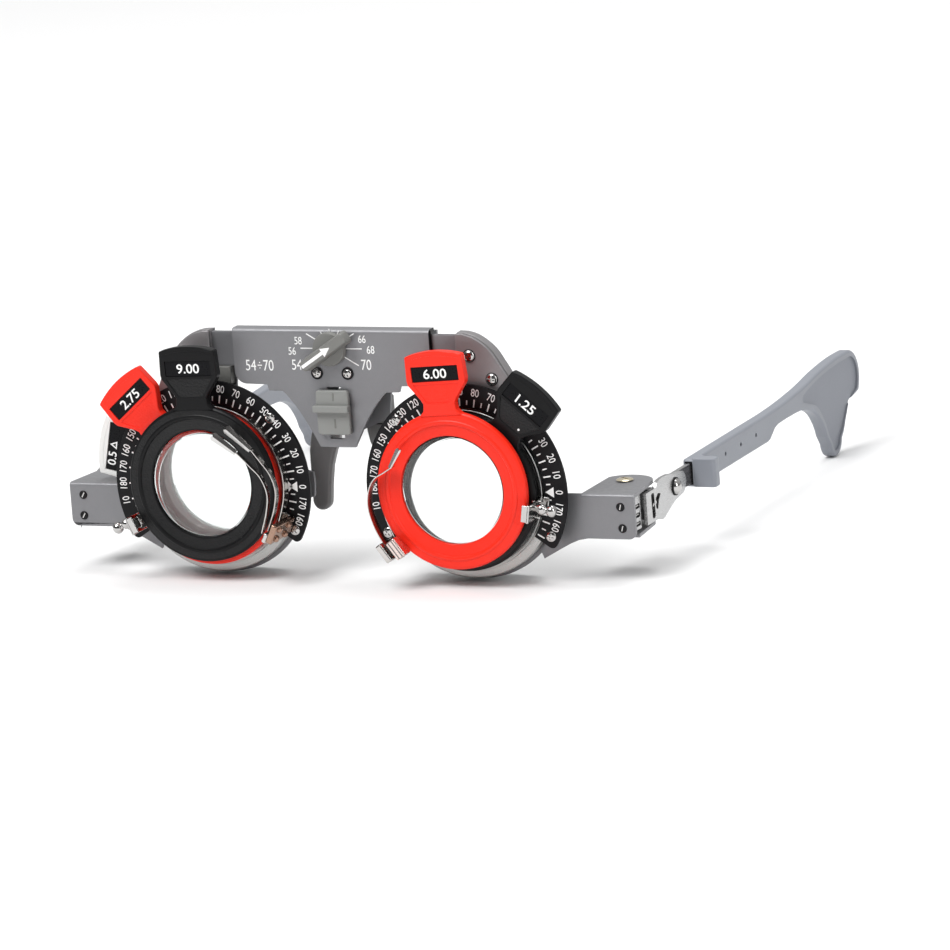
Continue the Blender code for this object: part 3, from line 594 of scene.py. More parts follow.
def put(name, parts, body, replaces=(), smooth=32.0):
    """Joins painted parts into one piece, brings it from the design frame to metres, and rides it."""
    mesh = bpy.data.meshes.new(name)
    bm = bmesh.new()
    slots = []
    for part in parts:
        start = len(bm.faces)
        bm.from_mesh(part.data)
        bm.faces.ensure_lookup_table()
        for material in part.data.materials:
            if material not in slots:
                slots.append(material)
        places = [slots.index(material) for material in part.data.materials]
        for face in bm.faces[start:]:
            face.material_index = places[face.material_index]
        bpy.data.objects.remove(part, do_unlink=True)
    bm.transform(Matrix.Scale(MM, 4) @ Matrix.Translation(-ORIGIN))
    bm.to_mesh(mesh)
    bm.free()
    for material in slots:
        mesh.materials.append(material)
    mesh.shade_smooth()
    mesh.set_sharp_from_angle(angle=math.radians(smooth))
    piece = linked(mesh, name)
    normals = piece.modifiers.new("normals", "WEIGHTED_NORMAL")
    normals.keep_sharp = True
    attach(piece, body)
    if replaces:
        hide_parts(*replaces)
    return piece


def dress(node, material):
    """Keeps a CAD node and gives it a finished material."""
    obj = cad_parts[node]
    obj.data.materials.clear()
    obj.data.materials.append(M[material])


# Shared hardware -------------------------------------------------------------------------------------

def cross_screw(x, depth, up, radius, rise, turn, seat_shade=0.0):
    """A domed head with a cross recess, facing front; a ring width above zero adds a dark ring round it:
    painted shade in its countersink.
    """
    profile = [(0.0, -rise)] + [(radius * math.sin(a), -rise * math.cos(a) ** 0.8)
                                for a in (0.25, 0.5, 0.75, 1.0, 1.2, 1.4)]
    profile += [(radius, 0.0), (radius, 0.25), (0.0, 0.25)]
    head = turned(profile, (x, depth, up), 36)
    arm, width = radius * 0.62, radius * 0.13
    bars = [block((x - arm, x + arm), (depth - rise * 2, depth - rise * 0.35), (up - width, up + width)),
            block((x - width, x + width), (depth - rise * 2, depth - rise * 0.36), (up - arm, up + arm))]
    head = turn_about(cut(head, *bars), turn, (x, 0, up))
    parts = [painted(head, "chrome")]
    if seat_shade:
        # The dark ring is painted shade round the head.
        ring = [(radius * 0.96, 0.1), (radius + seat_shade, 0.1), (radius + seat_shade, -0.12), (radius * 0.96, -0.05)]
        parts.append(painted(turned(ring[::-1], (x, depth, up), 36), "dark"))
    return parts


def slot_screw(x, depth, up, radius, turn):
    """A small dark cheese-head with a bright slot."""
    profile = [(0.0, -0.34), (radius * 0.8, -0.3), (radius, -0.1), (radius, 0.3), (0.0, 0.3)]
    head = turned(profile, (x, depth, up), 32)
    groove = block((x - radius * 1.2, x + radius * 1.2), (depth - 1.0, depth - 0.12), (up - 0.18, up + 0.18))
    head = turn_about(cut(head, groove), turn, (x, 0, up))
    bright = block((x - radius * 0.62, x + radius * 0.62), (depth - 0.2, depth - 0.1), (up - 0.15, up + 0.15))
    bright = turn_about(bright, turn, (x, 0, up))
    return [painted(head, "dark"), painted(bright, "chrome")]


# Bridge ----------------------------------------------------------------------------------------------

def housing_edge():
    """The right-hand half of the front's waste outline, round the lower corner and the nose panel."""
    edge = arc((22.5, -5.8), 3.0, 0, -90, 8)
    edge += [(17.3, -8.9), (16.9, -10.35), (13.3, -10.45), (12.5, -11.2)]
    edge += [(11.4, -12.5), (10.2, -14.0), (9.1, -15.6), (8.1, -17.2), (7.1, -18.9), (6.2, -20.6)]
    edge += [(5.4, -22.1), (4.7, -23.4)]
    return edge + [(4.2, -25.0), (27.0, -25.0), (27.0, -5.8)]


def make_housing():
    """Bent sheet: front and top in one, its corner rounded, its cut edges broken."""
    shell = block((-HOUSING_HALF, HOUSING_HALF), (0.0, HOUSING_DEPTH), (-23.8, HOUSING_TOP))
    inside = block((-30, 30), (1.0, 10), (-30, HOUSING_TOP - 1.0))
    waste = [prism(flipped(housing_edge(), side), -1, 2) for side in (1, -1)]
    slot = prism(rounded([(1.95, -9.3), (1.95, -21.8), (-1.95, -21.8), (-1.95, -9.3)], 0.4), -1, 2)
    holes = [rod(1.5, (side * 3.96, -1, -5.95), (side * 3.96, 2, -5.95), 32) for side in (1, -1)]
    shell = cut(shell, inside, *waste, slot, *holes)
    flatten(shell)
    round_folds(shell, (
        (lambda co: abs(co.y) < 0.01 and abs(co.z - HOUSING_TOP) < 0.01, 1.1),
        (lambda co: abs(co.y - HOUSING_DEPTH) < 0.01 and abs(co.z - HOUSING_TOP) < 0.01, 0.3),
    ))
    shell = painted(bevelled(shell, 0.12, 2), "housing_grey")
    # Painted shade: the faces inside the channel and under the top, the top's back edge and the two cut ends
    # get the dark material.
    paint_faces(shell, "dark", lambda c, n: c.y > 1.02 and n.z < 0.5 and abs(c.x) < 25.3)
    paint_faces(shell, "dark", lambda c, n: c.y > 3.05)
    paint_faces(shell, "dark", lambda c, n: abs(n.x) > 0.9 and abs(c.x) > 25.3)
    # Dark strips at the two ends: painted shadow in the gaps between the housing and the slide strips.
    end_shadows = [side_block(side, (24.9, 25.8), (0.75, 1.1), (-5.2, HOUSING_TOP - 0.3)) for side in (1, -1)]
    return [shell] + [painted(lip, "dark") for lip in end_shadows]


def dial_marks():
    """The PD scale's lines and numbers, and the range printed at its left."""
    parts = []
    lines = {150: (4.2, 7.0), 120: (3.5, 4.6), 90: (3.2, 4.7), 60: (3.9, 4.9), 30: (5.2, 7.3),
             0: (3.4, 8.1), -30: (3.3, 8.1), 180: (4.4, 7.8)}
    for angle, (start, end) in lines.items():
        a = math.radians(angle)
        points = [(r * math.cos(a), r * math.sin(a)) for r in (start, end)]
        parts.append(mark(points[0], points[1], 0.26, 0.0))
    numbers = {"58": (-8.3, 1.8, 1.85), "56": (-10.05, -0.7, 1.85), "54": (-9.1, -4.0, 2.5),
               "66": (8.3, 2.35, 1.85), "68": (10.35, -0.2, 1.9), "70": (8.95, -3.8, 2.5)}
    for text, (x, up, height) in numbers.items():
        parts.append(lettering(text, height, x, up, 0.0, narrow=0.78))
    for text, x in (("54", -21.15), ("70", -16.55)):
        parts.append(lettering(text, 2.6, x, -4.25, 0.0, narrow=0.78))
    parts.append(mark((-19.4, -4.25), (-18.25, -4.25), 0.24, 0.0))
    for up in (-3.6, -4.9):
        parts.append(mark((-18.95, up), (-18.7, up), 0.25, 0.0))
    return parts


def make_knob():
    """Round base and a bar that narrows towards its front, with a printed arrow."""
    profile = [(0.0, -1.75), (3.6, -1.75), (3.95, -1.6), (4.1, -1.3), (4.1, -0.3), (0.0, -0.3)]
    base = turned(profile, (0, 0, 0))
    outline = [(-7.4, -1.7), (6.7, -1.7), (6.7, 1.7), (-7.4, 1.7)]
    bar = prism(rounded(outline, 0.9, 4), KNOB_FRONT, -1.2)
    for vert in bar.data.vertices:
        if vert.co.y < -2.0:
            vert.co.z *= 0.74
            vert.co.x *= 0.97
    bar = bevelled(bar, 0.3, 3, 50)
    arrow = [(-6.9, -0.4), (-0.4, -0.4), (-0.4, -1.15), (2.0, 0.0), (-0.4, 1.15), (-0.4, 0.4), (-6.9, 0.4)]
    parts = [painted(base, "knob_grey"), painted(bar, "knob_grey"),
             painted(prism(arrow, KNOB_FRONT - PRINT, KNOB_FRONT + PRINT), "white_ink")]
    for part in parts:
        turn_about(part, KNOB_ANGLE, (0, 0, 0))
    return parts


def make_slider():
    """The clip: two pads either side of an overhanging thumb ridge, on a stem."""
    upper = prism(rounded([(-4.2, -9.8), (4.2, -9.8), (4.3, -13.9), (-4.3, -13.9)], 1.0), -1.5, -0.3)
    lower = prism(rounded([(-4.2, -13.9), (4.2, -13.9), (4.3, -20.6), (-4.3, -20.6)], 0.9), -1.5, -0.3)
    ridge = prism(rounded([(-4.7, -13.3), (4.5, -13.3), (4.5, -15.0), (-4.7, -15.0)], 0.35), -2.9, -0.9)
    for vert in upper.data.vertices:
        if vert.co.y < -1.2:
            vert.co.y -= (-9.8 - vert.co.z) * 0.06
    stem = block((-1.5, 1.5), (-1.0, 8.4), (-18.6, -11.0))
    parts = [painted(bevelled(part, 0.38, 4, 50), "slider_grey") for part in (upper, lower, ridge)]
    parts.append(painted(stem, "slider_grey"))
    for top, bottom, depth in ((-10.4, -12.4, -1.57), (-16.7, -18.9, -1.5)):
        line = block((0.15, 0.6), (depth - 0.1, depth + 0.1), (bottom, top), 0.08)
        parts.append(painted(line, "knob_grey"))
    return parts


def make_saddle():
    """The plate behind the bridge with its two rounded legs, and a dark line across each shoulder: painted
    shade at a step.
    """
    right = [(0.0, -12.5), (9.6, -12.5), (10.4, -13.5), (10.4, -20.0), (11.4, -23.6), (12.0, -27.0),
             (12.1, -38.9)]
    right += arc((9.75, -39.1), 2.35, 0, -170, 16)
    right += [(7.0, -35.0), (6.3, -30.5), (5.2, -27.0), (4.1, -24.5), (3.6, -22.0), (3.5, -20.5)]
    saddle = painted(prism(mirrored(right)[1:-1], 8.7, 11.5, bevel=0.8, segments=4, angle=50), "saddle_grey")
    # Dark lines across the shoulders: painted shade at the step.
    grooves_and_shade_lines = [side_block(side, (4.2, 9.4), (8.66, 8.75), (-20.1, -19.8)) for side in (1, -1)]
    return [saddle] + [painted(part, "dark") for part in grooves_and_shade_lines]


def build_bridge():
    put("housing_shell", make_housing(), "bridge", ["housing"], 30)
    put("dial_print", dial_marks(), "bridge")
    dress("rear_plate", "housing_grey")
    for key, side in SIDES.items():
        screw = cross_screw(side * 3.96, -0.15, -5.95, 1.15, 0.6, 25.0 * side, 0.35)
        put("dial_screw_" + key, screw, "bridge", ["bridge_screw_" + key])
    put("pd_dial_knob", make_knob(), "pd_knob", ["pd_knob"])
    dress("pd_pinion", "steel")
    put("nose_clip", make_slider(), "nose_rest", ["nose_slider"])
    put("nose_pad", make_saddle(), "nose_rest", ["nose_saddle"], 45)


# Carrier ---------------------------------------------------------------------------------------------

def corner_edge(inset=0.0):
    """The corner bracket's outer edge, drawn in towards its screws by inset."""
    middle = Vector((35.5, -8.0))
    edge = []
    for point in smooth_path(CORNER, 4):
        inward = (middle - point).normalized() * inset
        edge.append((point.x + inward.x, point.y + inward.y))
    return edge


def sector(side, inner, outer, start, end, steps=60):
    return flipped(arc(EYE, outer, start, end, steps) + arc(EYE, inner, end, start, steps), side)


def make_carrier(side):
    """Back plate, the bent wall of the corner bracket, its front sheet, and a dark band of painted shade in
    the fold between them.
    """
    back = [(EYE_X - 6.4, -5.0), (EYE_X - 1.1, -5.0), (EYE_X - 1.1, 3.9)] + corner_edge(0.1)
    back += arc(EYE, CARRIER_RADIUS, 51, -38, 24) + arc(EYE, 22.4, -40, -140, 36)
    back += arc(EYE, CARRIER_RADIUS, 218, 190, 10) + arc(EYE, 24.4, 188.5, 174.5, 6)
    back += arc(EYE, CARRIER_RADIUS, 173, 105, 24)
    plate = prism([flipped(back, side), flipped(circle(EYE, 16.5, 72), side)], 3.5, 4.3, bevel=0.12)
    low = arc(EYE, 22.3, 55, 92.6, 12)
    wall = prism(flipped([(EYE_X - 0.9, 4.0)] + corner_edge() + low, side), 1.2, 3.9, bevel=0.3)
    front = [(EYE_X - 1.0, 3.75), (EYE_X + 0.6, 3.8)] + corner_edge(0.28) + low
    sheet = prism(flipped(front, side), 0.3, 1.15, bevel=0.25)
    # Painted shade: a dark band where the front sheet folds into the wall.
    bend_shade = prism(flipped([(EYE_X - 0.9, 3.7)] + corner_edge(0.5) + low, side), 0.95, 1.4)
    foot = side_block(side, (EYE_X - 5.6, EYE_X - 1.2), (1.2, 3.6), (-9.3, -5.0), 0.2)
    return [painted(plate, "housing_grey"), painted(wall, "bracket_grey"), painted(sheet, "bracket_grey"),
            painted(bend_shade, "dark"), painted(foot, "knob_grey")]


def make_strip(side):
    """The visible end of the slide strip, between the housing and the corner bracket."""
    front = STRIP_FRONT[side]
    outline = [(14.0, -4.9), (14.0, 3.4), (34.2, 3.4), (35.2, 2.4), (35.2, -4.9)]
    return prism(flipped(outline, side), front - 0.04, front + 0.84, bevel=0.25)


def scale_marks(side):
    """Degree numbers every 10, ticks every 5, counted counter-clockwise on both eyes."""
    parts = []
    x = side * EYE_X
    for angle in range(-30, 211, 5):
        major = angle % 10 == 0
        inner, outer = (20.25, 22.15) if major else (20.6, 21.7)
        a = math.radians(angle)
        if angle != 0:
            ends = [(x + r * math.cos(a), EYE_HEIGHT + r * math.sin(a)) for r in (inner, outer)]
            parts.append(mark(ends[0], ends[1], 0.34 if major else 0.3, SCALE_FRONT))
        if major and angle not in (-30, 200, 210):
            number = str(angle if angle == 180 else angle % 180)
            place = (x + 23.75 * math.cos(a), EYE_HEIGHT + 23.75 * math.sin(a))
            parts.append(lettering(number, 1.85, place[0], place[1], SCALE_FRONT, angle - 90, 0.8))
    parts += zero_marks(side, x)
    return parts


def zero_marks(side, x):
    """The triangle at zero; the right eye's has a second one point to point with it."""
    wedges = [[(20.2, 0.0), (22.35, 1.25), (22.35, -1.25)]]
    if side < 0:
        wedges.append([(20.0, 1.25), (21.2, 0.0), (20.0, -1.25)])
    low, high = SCALE_FRONT - PRINT, SCALE_FRONT + PRINT
    return [painted(prism(shifted(wedge, x, EYE_HEIGHT), low, high), "white_ink") for wedge in wedges]


def make_scale(side):
    """The black scale: a thin sector with rounded ends on four bent lugs."""
    outline = rounded_sector(SCALE_INNER, SCALE_OUTER, -33.0, 213.0, 1.3)
    plate = prism(flipped(outline, side), SCALE_FRONT, SCALE_BACK, bevel=0.15, segments=2)
    inner, outer, half = LUG
    lugs = []
    for angle in SCALE_SCREWS:
        back = 2.1 if angle == -27 else 3.2
        lug = sector(side, inner, outer, angle - half, angle + half, 4)
        lugs.append(painted(prism(lug, SCALE_BACK - 0.3, back, bevel=0.1), "chrome"))
    return [painted(plate, "scale_black")] + lugs


def rounded_sector(inner, outer, start, end, radius):
    """A ring sector with its two outer corners rounded."""
    reach = math.degrees(radius / outer)
    points = []
    for edge, sign in ((start, 1), (end, -1)):
        turn = edge + sign * reach
        a = math.radians(turn)
        middle = (EYE_X + (outer - radius) * math.cos(a), EYE_HEIGHT + (outer - radius) * math.sin(a))
        corner = arc(middle, radius, turn - sign * 90, turn, 6)
        points.append(corner if sign > 0 else corner[::-1])
    rim = arc(EYE, outer, start + reach, end - reach, 90)[1:-1]
    return points[0] + rim + points[1] + arc(EYE, inner, end, start, 90)


def scale_screws(side):
    parts = []
    for angle in SCALE_SCREWS:
        a = math.radians(angle)
        x, up = side * (EYE_X + 23.4 * math.cos(a)), EYE_HEIGHT + 23.4 * math.sin(a)
        parts += cross_screw(x, SCALE_FRONT, up, 1.3, 0.45, angle + 15)
    return parts


def make_rear_cell(side):
    x = side * EYE_X
    ring = turned([(17.2, 4.6), (21.0, 4.6), (21.0, 5.4), (17.2, 5.4)], (x, 0, EYE_HEIGHT), 96, bevel=0.12)
    wall = prism(sector(side, 19.6, 20.5, *REAR_WALL), 5.0, 9.6, bevel=0.1, segments=2)
    lip = prism(sector(side, 18.0, 20.5, *REAR_WALL), 8.9, 9.6, bevel=0.2, segments=2)
    return [painted(part, "steel") for part in (ring, wall, lip)]


def make_end_piece(side):
    """Folded sheet: the face, and two flanges that fold back round the hinge."""
    left = 60.3
    face = [(END_RIGHT, END_TOP), (END_RIGHT, END_LOW), (61.5, END_LOW), (59.2, -45.5), (57.0, -46.4),
            (54.0, -48.0), (50.0, -50.2)]
    face += arc(EYE, 22.2, -43, -3.2, 20)
    sheet = prism(flipped(face, side), END_FRONT, END_FRONT + 0.8)
    outline = [(END_RIGHT, END_FRONT), (END_RIGHT, 4.0)] + arc((HINGE_X, HINGE_DEPTH), 6.6, 0, 146, 20)
    outline += [(left, 4.4), (left, END_FRONT)]
    hole = circle((HINGE_X, HINGE_DEPTH), 1.5, 24)
    flanges = [prism([flipped(outline, side), flipped(hole, side)], base, base + 0.8, "top")
               for base in (END_TOP - 0.8, END_LOW)]
    piece = cut(joined(sheet, *flanges), end_corner(side))
    flatten(piece)

    def on_fold(height, start):
        return lambda co: (abs(co.y - END_FRONT) < 0.01 and abs(co.z - height) < 0.01
                           and abs(co.x) > start - 0.2)
    round_folds(piece, ((on_fold(END_TOP, left), 0.75), (on_fold(END_LOW, 61.6), 0.75)))
    return [painted(bevelled(piece, 0.12, 2), "housing_grey")]


def end_corner(side):
    """The waste outside the end piece's rounded lower corner."""
    radius = 1.8
    centre = (END_RIGHT - radius, END_LOW + radius)
    waste = [(END_RIGHT + 1.0, centre[1])] + arc(centre, radius, 0, -90, 10)
    waste += [(centre[0], END_LOW - 1.0), (END_RIGHT + 1.0, END_LOW - 1.0)]
    return prism(flipped(waste, side), 2.0, 4.6)


def make_hinge_block(side):
    """The block in the end piece's open side, with three cross grooves, each behind a bright bar and darkened
    on its floor with painted shade.
    """
    body = side_block(side, (67.8, 72.6), (3.5, 8.8), (-43.9, -35.6), 0.3)
    edge = side_block(side, (72.2, 73.0), (3.4, 4.1), (-44.0, -35.5), 0.2)
    grooves_and_shade_lines = [side_block(side, (71.5, 73.0), (4.4, 8.0), (up, up + 1.1), 0.1) for up in HINGE_GROOVES]
    parts = [painted(cut(body, *grooves_and_shade_lines), "steel"), painted(edge, "dark")]
    for up in HINGE_GROOVES:
        bar = rod(0.3, (side * 72.2, 4.9, up + 0.6), (side * 72.2, 7.6, up + 0.6), 12)
        # Painted shade: a dark strip on each groove's floor.
        floor = side_block(side, (71.3, 71.55), (4.3, 8.1), (up - 0.05, up + 1.15))
        parts += [painted(bar, "chrome"), painted(floor, "dark")]
    return parts


def make_hinge_pin(side):
    x = side * HINGE_X
    head = [(0.0, 33.7), (1.2, 33.72), (1.8, 33.85), (2.1, 34.05), (1.2, 34.1), (1.2, 45.9), (0.0, 45.9)]
    pin = turned(head, (x, HINGE_DEPTH, 0), 48, "height")
    groove = block((x - 1.3, x + 1.3), (HINGE_DEPTH - 0.22, HINGE_DEPTH + 0.22), (-33.88, -33.4))
    return [painted(cut(pin, turn_about(groove, 35, (x, HINGE_DEPTH, 0), "Z")), "brass")]


def build_carrier(key, side):
    body = "carrier_" + key
    dress("slide_rack_" + key, "housing_grey")
    put("slide_strip_" + key, [painted(make_strip(side), "housing_grey")], body)
    put("corner_bracket_" + key, make_carrier(side), body, ["carrier_plate_" + key], 30)
    for number, (x, up) in enumerate(CORNER_SCREWS, 1):
        screw = cross_screw(side * x, 0.3, up, 1.45, 0.85, 40.0 * number, 0.12)
        put(f"bracket_screw_{key}_{number}", screw, body, [f"corner_screw_{key}_{number}"])
    put("axis_scale_" + key, make_scale(side), body, ["scale_plate_" + key])
    put("axis_print_" + key, scale_marks(side), body)
    put("scale_screws_" + key, scale_screws(side), body)
    put("back_cell_" + key, make_rear_cell(side), body, ["rear_cell_" + key])
    put("end_bracket_" + key, make_end_piece(side), body, ["end_piece_" + key], 30)
    for number, (x, up) in enumerate(END_SCREWS, 1):
        screw = slot_screw(side * x, END_FRONT, up, 1.05, 75.0 if side > 0 else 60.0)
        put(f"bracket_pin_{key}_{number}", screw, body, [f"end_screw_{key}_{number}"])
    put("hinge_stop_" + key, make_hinge_block(side), body, ["hinge_block_" + key])
    put("hinge_axle_" + key, make_hinge_pin(side), body, ["hinge_pin_" + key])


# Rotor -----------------------------------------------------------------------------------------------

def make_rotor_ring(side):
    profile = [(17.5, -2.0), (19.3, -2.0), (19.4, -1.9), (19.4, -0.5), (21.1, -0.5), (21.4, -0.35),
               (21.5, -0.1), (21.5, 0.9), (21.25, 1.0), (21.25, 1.3), (21.5, 1.4), (21.5, 3.2), (17.5, 3.2)]
    ring = turned(profile, (side * EYE_X, 0, EYE_HEIGHT), 128)
    return [painted(ring, "aluminium_l" if side > 0 else "aluminium_r")]


def make_claw(side):
    """A stamped claw: the wall is folded from the foot, with a lip in front of each slot."""
    x, up = side * EYE_X, EYE_HEIGHT
    wall = block((x + 19.5, x + 20.2), (-11.9, -2.3), (up - 2.2, up + 2.2), 0.2)
    slot = block((x + 19.0, x + 21.0), (-6.6, -4.0), (up - 0.8, up + 0.8))
    parts = [cut(wall, slot), block((x + 17.8, x + 21.4), (-2.75, -2.3), (up - 2.2, up + 2.2), 0.15)]
    for front, half in ((-11.9, 2.0), (-8.95, 1.3), (-5.87, 1.8)):
        parts.append(block((x + 18.3, x + 20.0), (front, front + 0.35), (up - half, up + half), 0.14))
    for offset in (-1.9, 1.9):
        height = up + offset
        parts.append(block((x + 19.4, x + 20.9), (-6.3, -4.4), (height - 0.25, height + 0.25), 0.12))
    return [painted(turn_about(part, CLAW_ANGLE[side], (x, 0, up)), "chrome") for part in parts]


def make_axis_knob(side):
    """A dumbbell: an end ball, a neck and a smaller ball at the claw."""
    x = side * EYE_X
    profile = [(0.0, -25.8), (0.6, -25.7), (1.05, -25.45), (1.38, -25.0), (1.45, -24.5), (1.3, -23.95),
               (0.95, -23.55), (0.65, -23.35), (0.62, -23.1), (0.85, -22.9), (1.15, -22.65), (1.3, -22.2),
               (1.2, -21.6), (0.9, -21.1), (0.7, -20.8), (0.7, -20.2), (0.0, -20.2)]
    knob = turned(profile, (x, -8.6, EYE_HEIGHT + side), 40, "x")
    return [painted(turn_about(knob, CLAW_ANGLE[side], (x, 0, EYE_HEIGHT)), "chrome")]


def make_spring_block(side):
    """The post for the leaf springs: two rivets on the right eye, a folded clip on the left."""
    x, up = side * EYE_X, EYE_HEIGHT
    post = block((x + 21.0, x + 22.6), (-12.9, -2.3), (up - 2.4, up + 2.4), 0.35)
    foot = block((x + 17.8, x + 22.0), (-2.8, -2.3), (up - 2.4, up + 2.4), 0.15)
    parts = [painted(foot, "chrome")]
    if side < 0:
        parts.append(painted(post, "copper"))
        for depth in (-10.6, -5.6):
            for offset in (-1.2, 1.3):
                head = [(0.0, -23.4), (0.5, -23.3), (0.85, -22.9), (0.9, -22.5), (0.0, -22.5)]
                parts.append(painted(turned(head, (x, depth, up + offset), 24, "x"), "copper"))
        clamp = block((x + 20.0, x + 21.1), (-12.9, -3.0), (up - 2.8, up - 0.4), 0.3)
        parts.append(painted(clamp, "spring_steel"))
    else:
        parts.append(painted(post, "spring_steel"))
        clip = block((x + 17.4, x + 20.0), (-12.8, -9.2), (up - 1.5, up + 3.4), 0.35)
        parts.append(painted(clip, "clip_steel"))
        # Two dark lines on the clip: painted shade in its folds.
        for offset in (18.1, 19.1):
            clip_fold_shade = block((x + offset, x + offset + 0.22), (-12.88, -9.4), (up - 1.4, up + 3.3))
            parts.append(painted(clip_fold_shade, "dark_steel"))
    for part in parts:
        turn_about(part, SPRING_ANGLE[side], (x, 0, up))
    return parts


# For each side, each leaf's points, front, back and, for some, the tip of its lip
LEAVES = {
    -1: (
        (((-15.2, -42.6), (-13.6, -38.4), (-12.6, -33.8), (-12.8, -28.9), (-14.6, -23.6), (-17.6, -19.3),
          (-20.6, -16.6)), -5.5, -3.1, None),
        (((-15.0, -42.0), (-13.0, -37.0), (-12.2, -32.4), (-13.3, -28.4), (-15.6, -25.2), (-17.8, -22.4)),
         -10.9, -9.1, (-23.6, -17.5)),
        (((-15.8, -42.2), (-14.2, -37.2), (-13.6, -32.8), (-15.0, -28.8), (-17.6, -26.0), (-20.9, -22.8)),
         -12.6, -11.2, (-26.4, -18.9)),
    ),
    1: (
        (((15.6, -44.6), (13.4, -39.2), (12.9, -34.4), (13.3, -31.0)), -5.5, -3.1, None),
        (((17.4, -47.0), (14.6, -43.6), (12.6, -39.4), (11.7, -35.4), (12.2, -31.6), (13.8, -28.8),
          (16.4, -27.2), (18.3, -26.0)), -11.2, -8.6, (20.9, -21.8)),
    ),
}
# A lip's two halves, each with its width across the leaf and its colour: the first a brighter steel as
# painted light, the second darker, a dark steel as painted shade on the left eye
LIP_HALVES = {
    -1: ((1.05, "lit_lip_steel"), (-1.05, "spring_steel")),
    1: ((-0.4, "lit_lip_steel"), (0.9, "dark_steel")),
}


def make_lip(side, start, tip, front):
    """A leaf's end, bent forward and folded along its middle: one half in a brighter steel as painted light,
    the other darker, with painted shade on the left eye.
    """
    start, tip = Vector(start), Vector(tip)
    along = (tip - start).normalized()
    across = Vector((-along.y, along.x))
    parts = []
    for width, colour in LIP_HALVES[side]:
        near, far = sorted((0.0, width))
        corners = [start + across * near * 0.6, tip + across * near, tip + along * 0.5 + across * width * 0.5,
                   tip + across * far, start + across * far * 0.6]
        half = prism([tuple(point) for point in corners], front, front + 0.3)
        for vert in half.data.vertices:
            spot = Vector((vert.co.x, vert.co.z)) - start
            vert.co.y += abs(spot.dot(across)) * (0.4 if width < 0 else 0.1)
        parts.append(painted(half, colour))
    return parts


def make_leaves(side):
    """Leaf springs: each follows its points, and some end in a broad folded lip."""
    parts = []
    for points, front, back, lip in LEAVES[side]:
        parts.append(painted(ribbon(points, 0.3, front, back), "spring_steel"))
        if lip:
            parts += make_lip(side, points[-1], lip, front - 0.25)
    return parts


def build_rotor(key, side):
    body = "rotor_" + key
    put("axis_ring_" + key, make_rotor_ring(side), body, ["rotor_ring_" + key])
    put("lens_claw_" + key, make_claw(side), body, ["claw_" + key])
    put("axis_handle_" + key, make_axis_knob(side), body, ["axis_knob_" + key], 60)
    put("spring_post_" + key, make_spring_block(side), body, ["spring_block_" + key])
    put("lens_springs_" + key, make_leaves(side), body, ["spring_leaves_" + key])


# Trial lenses ----------------------------------------------------------------------------------------

def rim_ring(x, depth, up, colour):
    """The stepped ring: a sloping inner band, a raised bead and a lower outer band."""
    face = [(13.0, 1.0), (13.1, 0.8), (13.4, 0.66), (15.4, 0.5), (15.75, 0.42), (15.95, 0.1), (16.15, 0.02),
            (16.5, 0.0), (16.75, 0.08), (16.9, 0.22), (17.3, 0.24), (18.3, 0.28), (18.7, 0.4), (18.93, 0.62),
            (19.0, 0.95)]
    rear = [(19.0, -0.5), (18.85, -0.15), (18.5, 0.0), (13.2, 0.0), (13.0, -0.2)]
    profile = [(r, RIM_FRONT + along) for r, along in face] + [(r, RIM_BACK + along) for r, along in rear]
    ring = painted(turned(profile, (x, depth, up), 120), colour)

    def on_band(centre, normal):
        radius = math.hypot(centre.x - x, centre.z - up)
        return (13.4 < radius < 15.6 or 16.9 < radius < 18.4) and normal.y < -0.5
    return paint_faces(ring, GRAIN[colour], on_band)


def rim_tab(x, depth, up, colour):
    """The tab, drawn upright: a crowned top, a recessed window, and a grained trapezoid below it."""
    f, b = depth + RIM_FRONT, depth + RIM_BACK
    rise = LABEL_RISE.get(colour, 0.0)
    right = arc(CROWN_CENTRE, 25.0, 90, 73.4, 8)
    right += [(7.25, 32.0), (7.5, 26.6), (7.3, 25.6), (4.5, 21.9), (4.0, 20.9), (4.2, 19.3), (5.4, 18.0)]
    tab = prism(shifted(mirrored(right)[1:], x, up), f, b, bevel=0.28, segments=3, angle=34)
    window = [(-6.0, 26.2), (6.0, 26.2), (6.0, 29.9 + rise), (-6.0, 29.9 + rise)]
    grip = [(-6.0, 25.6), (6.0, 25.6), (3.3, 21.5), (2.6, 21.1), (-2.6, 21.1), (-3.3, 21.5)]
    hollows = [prism(shifted(window, x, up), f - 1, f + 0.4), prism(shifted(grip, x, up), f - 1, f + 0.16)]
    tab = cut(tab, *hollows)
    paint_faces(painted(tab, colour), GRAIN[colour],
                lambda c, n: n.y < -0.9 and abs(c.y - (f + 0.16)) < 0.02 and up + 21 < c.z < up + 25.7)
    ridge = arc(CROWN_CENTRE, 23.9, 74.5, 105.5, 16) + arc(CROWN_CENTRE, 23.65, 105.5, 74.5, 16)
    ridge = prism(shifted(ridge, x, up), f - 0.05, f + 0.2)
    label = rounded([(-5.9, 26.3), (5.9, 26.3), (5.9, 29.8 + rise), (-5.9, 29.8 + rise)], 0.2, 2)
    label = prism(shifted(label, x, up), f + 0.2, f + 0.5)
    return [tab, painted(ridge, colour), painted(label, "label_black")]


